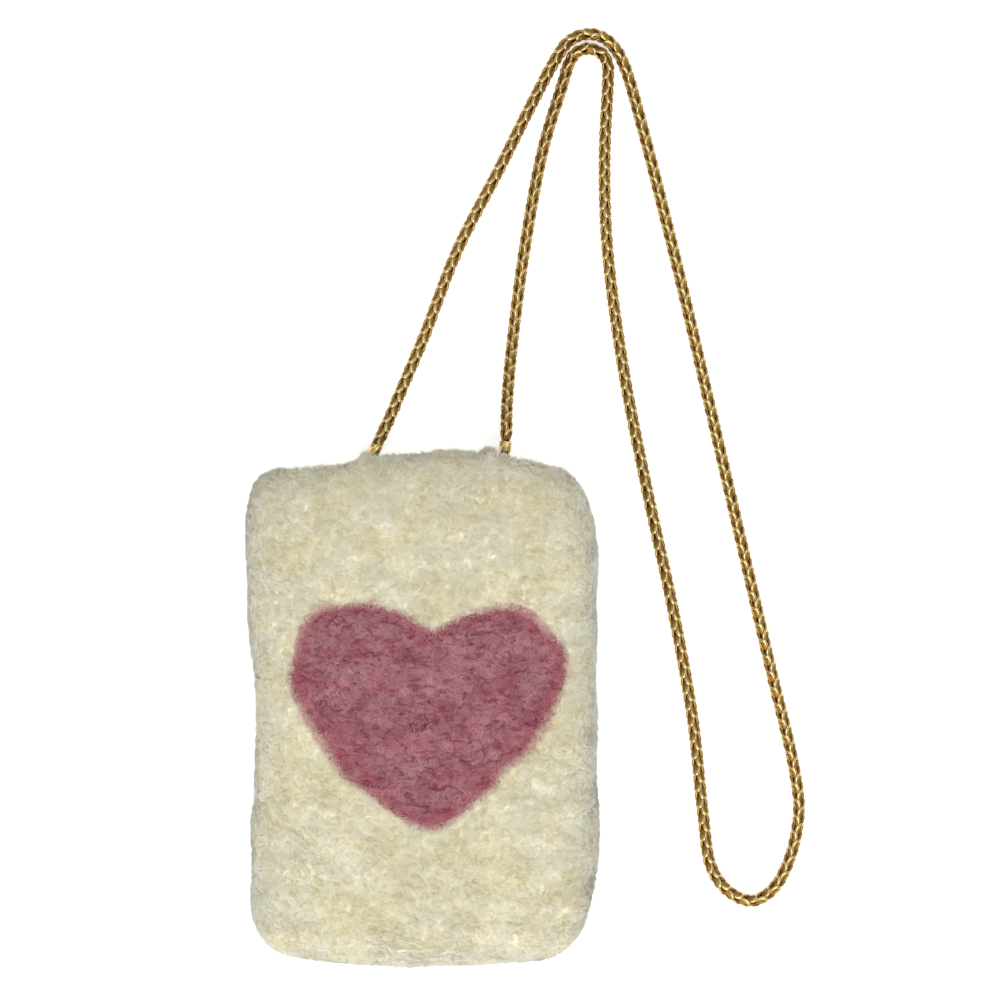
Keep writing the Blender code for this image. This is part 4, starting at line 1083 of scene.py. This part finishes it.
facing = {
    "bottom": 77 * mm,
    "top": 91 * mm,
    "middle": {"front": 23.2 * mm, "back": 12.8 * mm},
    "leather": 1.0 * mm,
    "edge": 0.4 * mm,  # how round its edges are
    "sway": 0.06 * mm,  # how far it waves, and over what length
    "swayLength": 7 * mm,
    "sections": 90,
}
stitch = {
    "radius": 0.22 * mm,
    "length": 2.5 * mm,
    "gap": 3.2 * mm,  # from one stitch to the next
    "inset": 1.4 * mm,  # from the edge of the leather
    "ends": (2.5 * mm, 4 * mm),  # what is left free at the ends of a row
    # How high a stitch lies, in shares of its radius, along its length
    "rise": [(0, -0.9), (0.06, 0.1), (0.25, 0.45), (0.5, 0.5), (0.75, 0.45), (0.94, 0.1),
             (1, -0.9)],
    "dive": 60,  # degrees that its ends lean, about
    "around": 7,
}


def makeFacing(side, sign, leather, thread):
    width = facing["top"] - facing["bottom"]
    middle = (facing["top"] + facing["bottom"]) / 2
    section = stripSection(width, facing["leather"], facing["edge"])
    sections = []
    half = mouth["halfWidth"]
    for x in np.linspace(-half, half, facing["sections"]):
        sway = facing["sway"] * math.sin(x / facing["swayLength"] + sign)
        sections.append([(x, middle + u, facing["middle"][side] + v + sway)
                         for u, v in section])
    verts, faces = sweep(sections)
    piece = newPiece(f"facing_{side}_leather", verts, faces, leather, "bag", "cream_leather")
    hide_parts(f"mouth_facing_{side}")
    surface = facing["middle"][side] - sign * facing["leather"] / 2
    first, last = stitch["ends"]
    spots = []
    for y in (facing["bottom"] + stitch["inset"], facing["top"] - stitch["inset"]):
        for x in np.arange(-half + first, half - last, stitch["gap"]):
            spots.append(((x, y, surface), (x + stitch["length"], y, surface)))
    makeStitches(f"facing_{side}_stitches", spots, (0, 0, -sign), thread)


def makeStitches(name, spots, outside, material):
    # Each stitch rises from the leather, lies along it and dives in again
    out = np.array(outside, float)
    radius = stitch["radius"]
    parts = []
    for start, end in spots:
        start, end = np.array(start, float), np.array(end, float)
        along = (end - start) / np.linalg.norm(end - start)
        side = np.cross(along, out)
        sections = []
        for share, high in stitch["rise"]:
            centre = start + (end - start) * share + out * radius * high
            tilt = math.radians(stitch["dive"] * (0.5 - share) * (abs(share - 0.5) * 2) ** 3)
            face = out * math.cos(tilt) - along * math.sin(tilt)
            sections.append(ring(centre, radius, side, face, stitch["around"]))
        parts.append(sweep(sections))
    return newPiece(name, *joinParts(parts), material, "bag", "cream_leather")


tape = {
    "half": 54.5 * mm,
    "plane": 86 * mm,
    "middle": 3.9 * mm,  # from the bag's middle plane
    "width": 1.0 * mm,
    "cloth": 0.6 * mm,
    "edge": 0.2 * mm,
    "rib": 0.8 * mm,  # from one woven rib to the next
    "swell": 0.1,  # how much thicker the ribs are
}


def makeTape(side, sign, material):
    section = stripSection(tape["width"], tape["cloth"], tape["edge"])
    sections = []
    steps = 4 * int(2 * tape["half"] / tape["rib"])
    for i in range(steps + 1):
        x = -tape["half"] + 2 * tape["half"] * i / steps
        swell = 1 + tape["swell"] * math.cos(2 * math.pi * i / 4)
        sections.append([(x, tape["plane"] + v * swell,
                          mouth["seam"] + sign * tape["middle"] + u)
                         for u, v in section * (1, 0.9)])
    verts, faces = sweep(sections)
    piece = newPiece(f"zip_tape_{side}_woven", verts, faces, material, "bag", "zip_tape")
    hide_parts(f"zip_tape_{side}")


tab = {
    "width": 9 * mm,
    "leather": 0.9 * mm,
    "edge": 0.35 * mm,
    "bottom": 78 * mm,
    "frontPly": 11.55 * mm,
    "backPly": 10.35 * mm,
    "neck": 4.5 * mm,
    "foldRadius": 1.55 * mm,  # middle of the leather, round the ring's bar
}


def makeTab(side, leather):
    x, barY, barZ = chain["bar"][side]
    path = [(y, tab["frontPly"]) for y in np.linspace(tab["bottom"], barY, 10)]
    for step in range(1, 15):
        angle = math.radians(90 - 180 * step / 14)
        path.append((barY + tab["foldRadius"] * math.cos(angle),
                     barZ + tab["foldRadius"] * math.sin(angle)))
    low = barZ - tab["foldRadius"]
    for step in range(1, 9):
        t = step / 8
        path.append((barY - tab["neck"] * t, low + (tab["backPly"] - low) * (3 - 2 * t) * t * t))
    path += [(y, tab["backPly"]) for y in np.linspace(barY - tab["neck"], tab["bottom"], 6)[1:]]
    path = np.array(path)
    ahead = unit(np.gradient(path, axis=0))
    section = stripSection(tab["width"], tab["leather"], tab["edge"])
    sections = [[(x + u, y - v * az, z + v * ay) for u, v in section]
                for (y, z), (ay, az) in zip(path, ahead)]
    verts, faces = sweep(sections)
    piece = newPiece(f"tab_{side}_leather", verts, faces, leather, "bag", "cream_leather")
    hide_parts(f"strap_tab_{side}")


liningCloth = clothMaterial("cotton_lining", "CFC3A8", "DDD3BC", 2.2 * mm)
tapeCloth = clothMaterial("woven_zip_tape", "D8CDB2", "E6DDC6", 1.885 * mm)
leather = leatherMaterial()
thread = threadMaterial()
for side, sign in (("front", 1), ("back", -1)):
    makeLining(side, sign, liningCloth)
    makeFacing(side, sign, leather, thread)
    makeTape(side, sign, tapeCloth)
for side in ("left", "right"):
    makeTab(side, leather)
print("inside made")


# End caps: turned brass cut to slanting facets, hollow where the chain goes in, with a cast eye

cap = {
    "start": 11.2 * mm,  # from the bar of the ring
    "length": 5.0 * mm,
    "radius": 2.6 * mm,
    "nose": 1.0 * mm,
    "noseRadius": 1.5 * mm,
    "bore": 2.34 * mm,
    "floor": 1.0 * mm,
    "floorHole": 0.3 * mm,
    "lip": 0.35 * mm,  # where the facets end, from its mouth
    "bevel": 0.1 * mm,
    "inside": 0.4,  # painted shade inside the bore, as a place on the height ramp
    "facets": 8,
    "turn": 35,  # degrees that the facets wind from nose to mouth
    "eyePlace": 10.0 * mm,
    "eyeRadius": 1.8 * mm,
    "eyeWire": 1.2 * mm,
}


def capProfile():  # along the cap, out from its middle, and how sharply the facets are cut there
    bore, radius, length = cap["bore"], cap["radius"], cap["length"]
    profile = [(0, 0.5 * cap["noseRadius"], 0), (0, cap["noseRadius"], 0.3)]
    for i in range(1, 5):
        share = math.sin(math.radians(22.5 * i))
        profile.append((cap["nose"] / 4 * i,
                        cap["noseRadius"] + (radius - cap["noseRadius"]) * share, 1))
    for place in np.linspace(cap["nose"], length - cap["lip"], 14)[1:]:
        profile.append((float(place), radius, 1))
    profile += [(length - cap["bevel"], radius * 0.98, 0.3), (length, (radius + bore) / 2, 0),
                (length - cap["bevel"] / 2, bore, 0), (cap["floor"], bore, 0),
                (cap["floor"], cap["floorHole"], 0)]
    return profile


def makeCap(side):
    heading = math.radians(chain["heading"][side])
    along = np.array([math.cos(heading), math.sin(heading), 0])
    across = np.array([-along[1], along[0], 0])
    up = np.array([0, 0, 1.0])
    bar = np.array(chain["bar"][side])
    around, facet = 12 * cap["facets"], 2 * math.pi / cap["facets"]
    sections, heights = [], []
    for place, radius, cut in capProfile():
        section = []
        wind = math.radians(cap["turn"]) * place / cap["length"]
        for k in range(around):
            angle = 2 * math.pi * k / around
            flat = math.cos(facet / 2) / math.cos((angle - wind) % facet - facet / 2)
            out = radius * (1 + cut * (flat - 1))
            section.append(bar + along * (cap["start"] + place)
                           + out * (math.cos(angle) * across + math.sin(angle) * up))
        # Painted shade: points inside the bore take a low height, which the ramp darkens
        outside = radius > cap["bore"] or place < cap["floor"]
        heights += [1.0 if outside else cap["inside"]] * around
        sections.append(section)
    turns, sides, rings = 32, 12, []
    for i in range(turns):
        angle = 2 * math.pi * i / turns
        out = math.cos(angle) * along + math.sin(angle) * across
        centre = bar + along * cap["eyePlace"] + out * cap["eyeRadius"]
        rings.append(ring(centre, cap["eyeWire"] / 2, out, up, sides))
    eye = (np.concatenate(rings), wrapFaces(turns, sides, True))
    verts, faces = joinParts([sweep(sections), eye])
    piece = newPiece(f"cap_{side}_turned", verts, faces, capGold, f"ring_{side}",
                     "hardware_gold")
    mark(piece.data, "height", heights + [1.0] * len(eye[0]))
    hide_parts(f"end_cap_{side}")


# Its ramp paints shade into the bore, and leaves the outside its own colour
capGold = goldMaterial("gold_plate_faceted", "F0D28E", 0.16, 1 * mm,
                       [(0.3, "3A2A14"), (0.65, "A08050"), (0.95, "FFFFFF")])
for side in ("left", "right"):
    makeCap(side)
print("caps turned")


# CAD pieces that keep their shape

def dressNode(name, material):
    data = nodes[name].data
    data.materials.clear()
    data.materials.append(material)


for name in ("d_ring_left", "d_ring_right", "end_link_left", "end_link_right",
             "tab_rivet_left", "tab_rivet_right"):
    dressNode(name, hardwareGold)
for name in ("zip_teeth_front", "zip_teeth_back", "zip_slider", "zip_puller",
             "zip_top_stop_front", "zip_top_stop_back", "zip_bottom_stop"):
    dressNode(name, zipGold)

print("metal dressed")
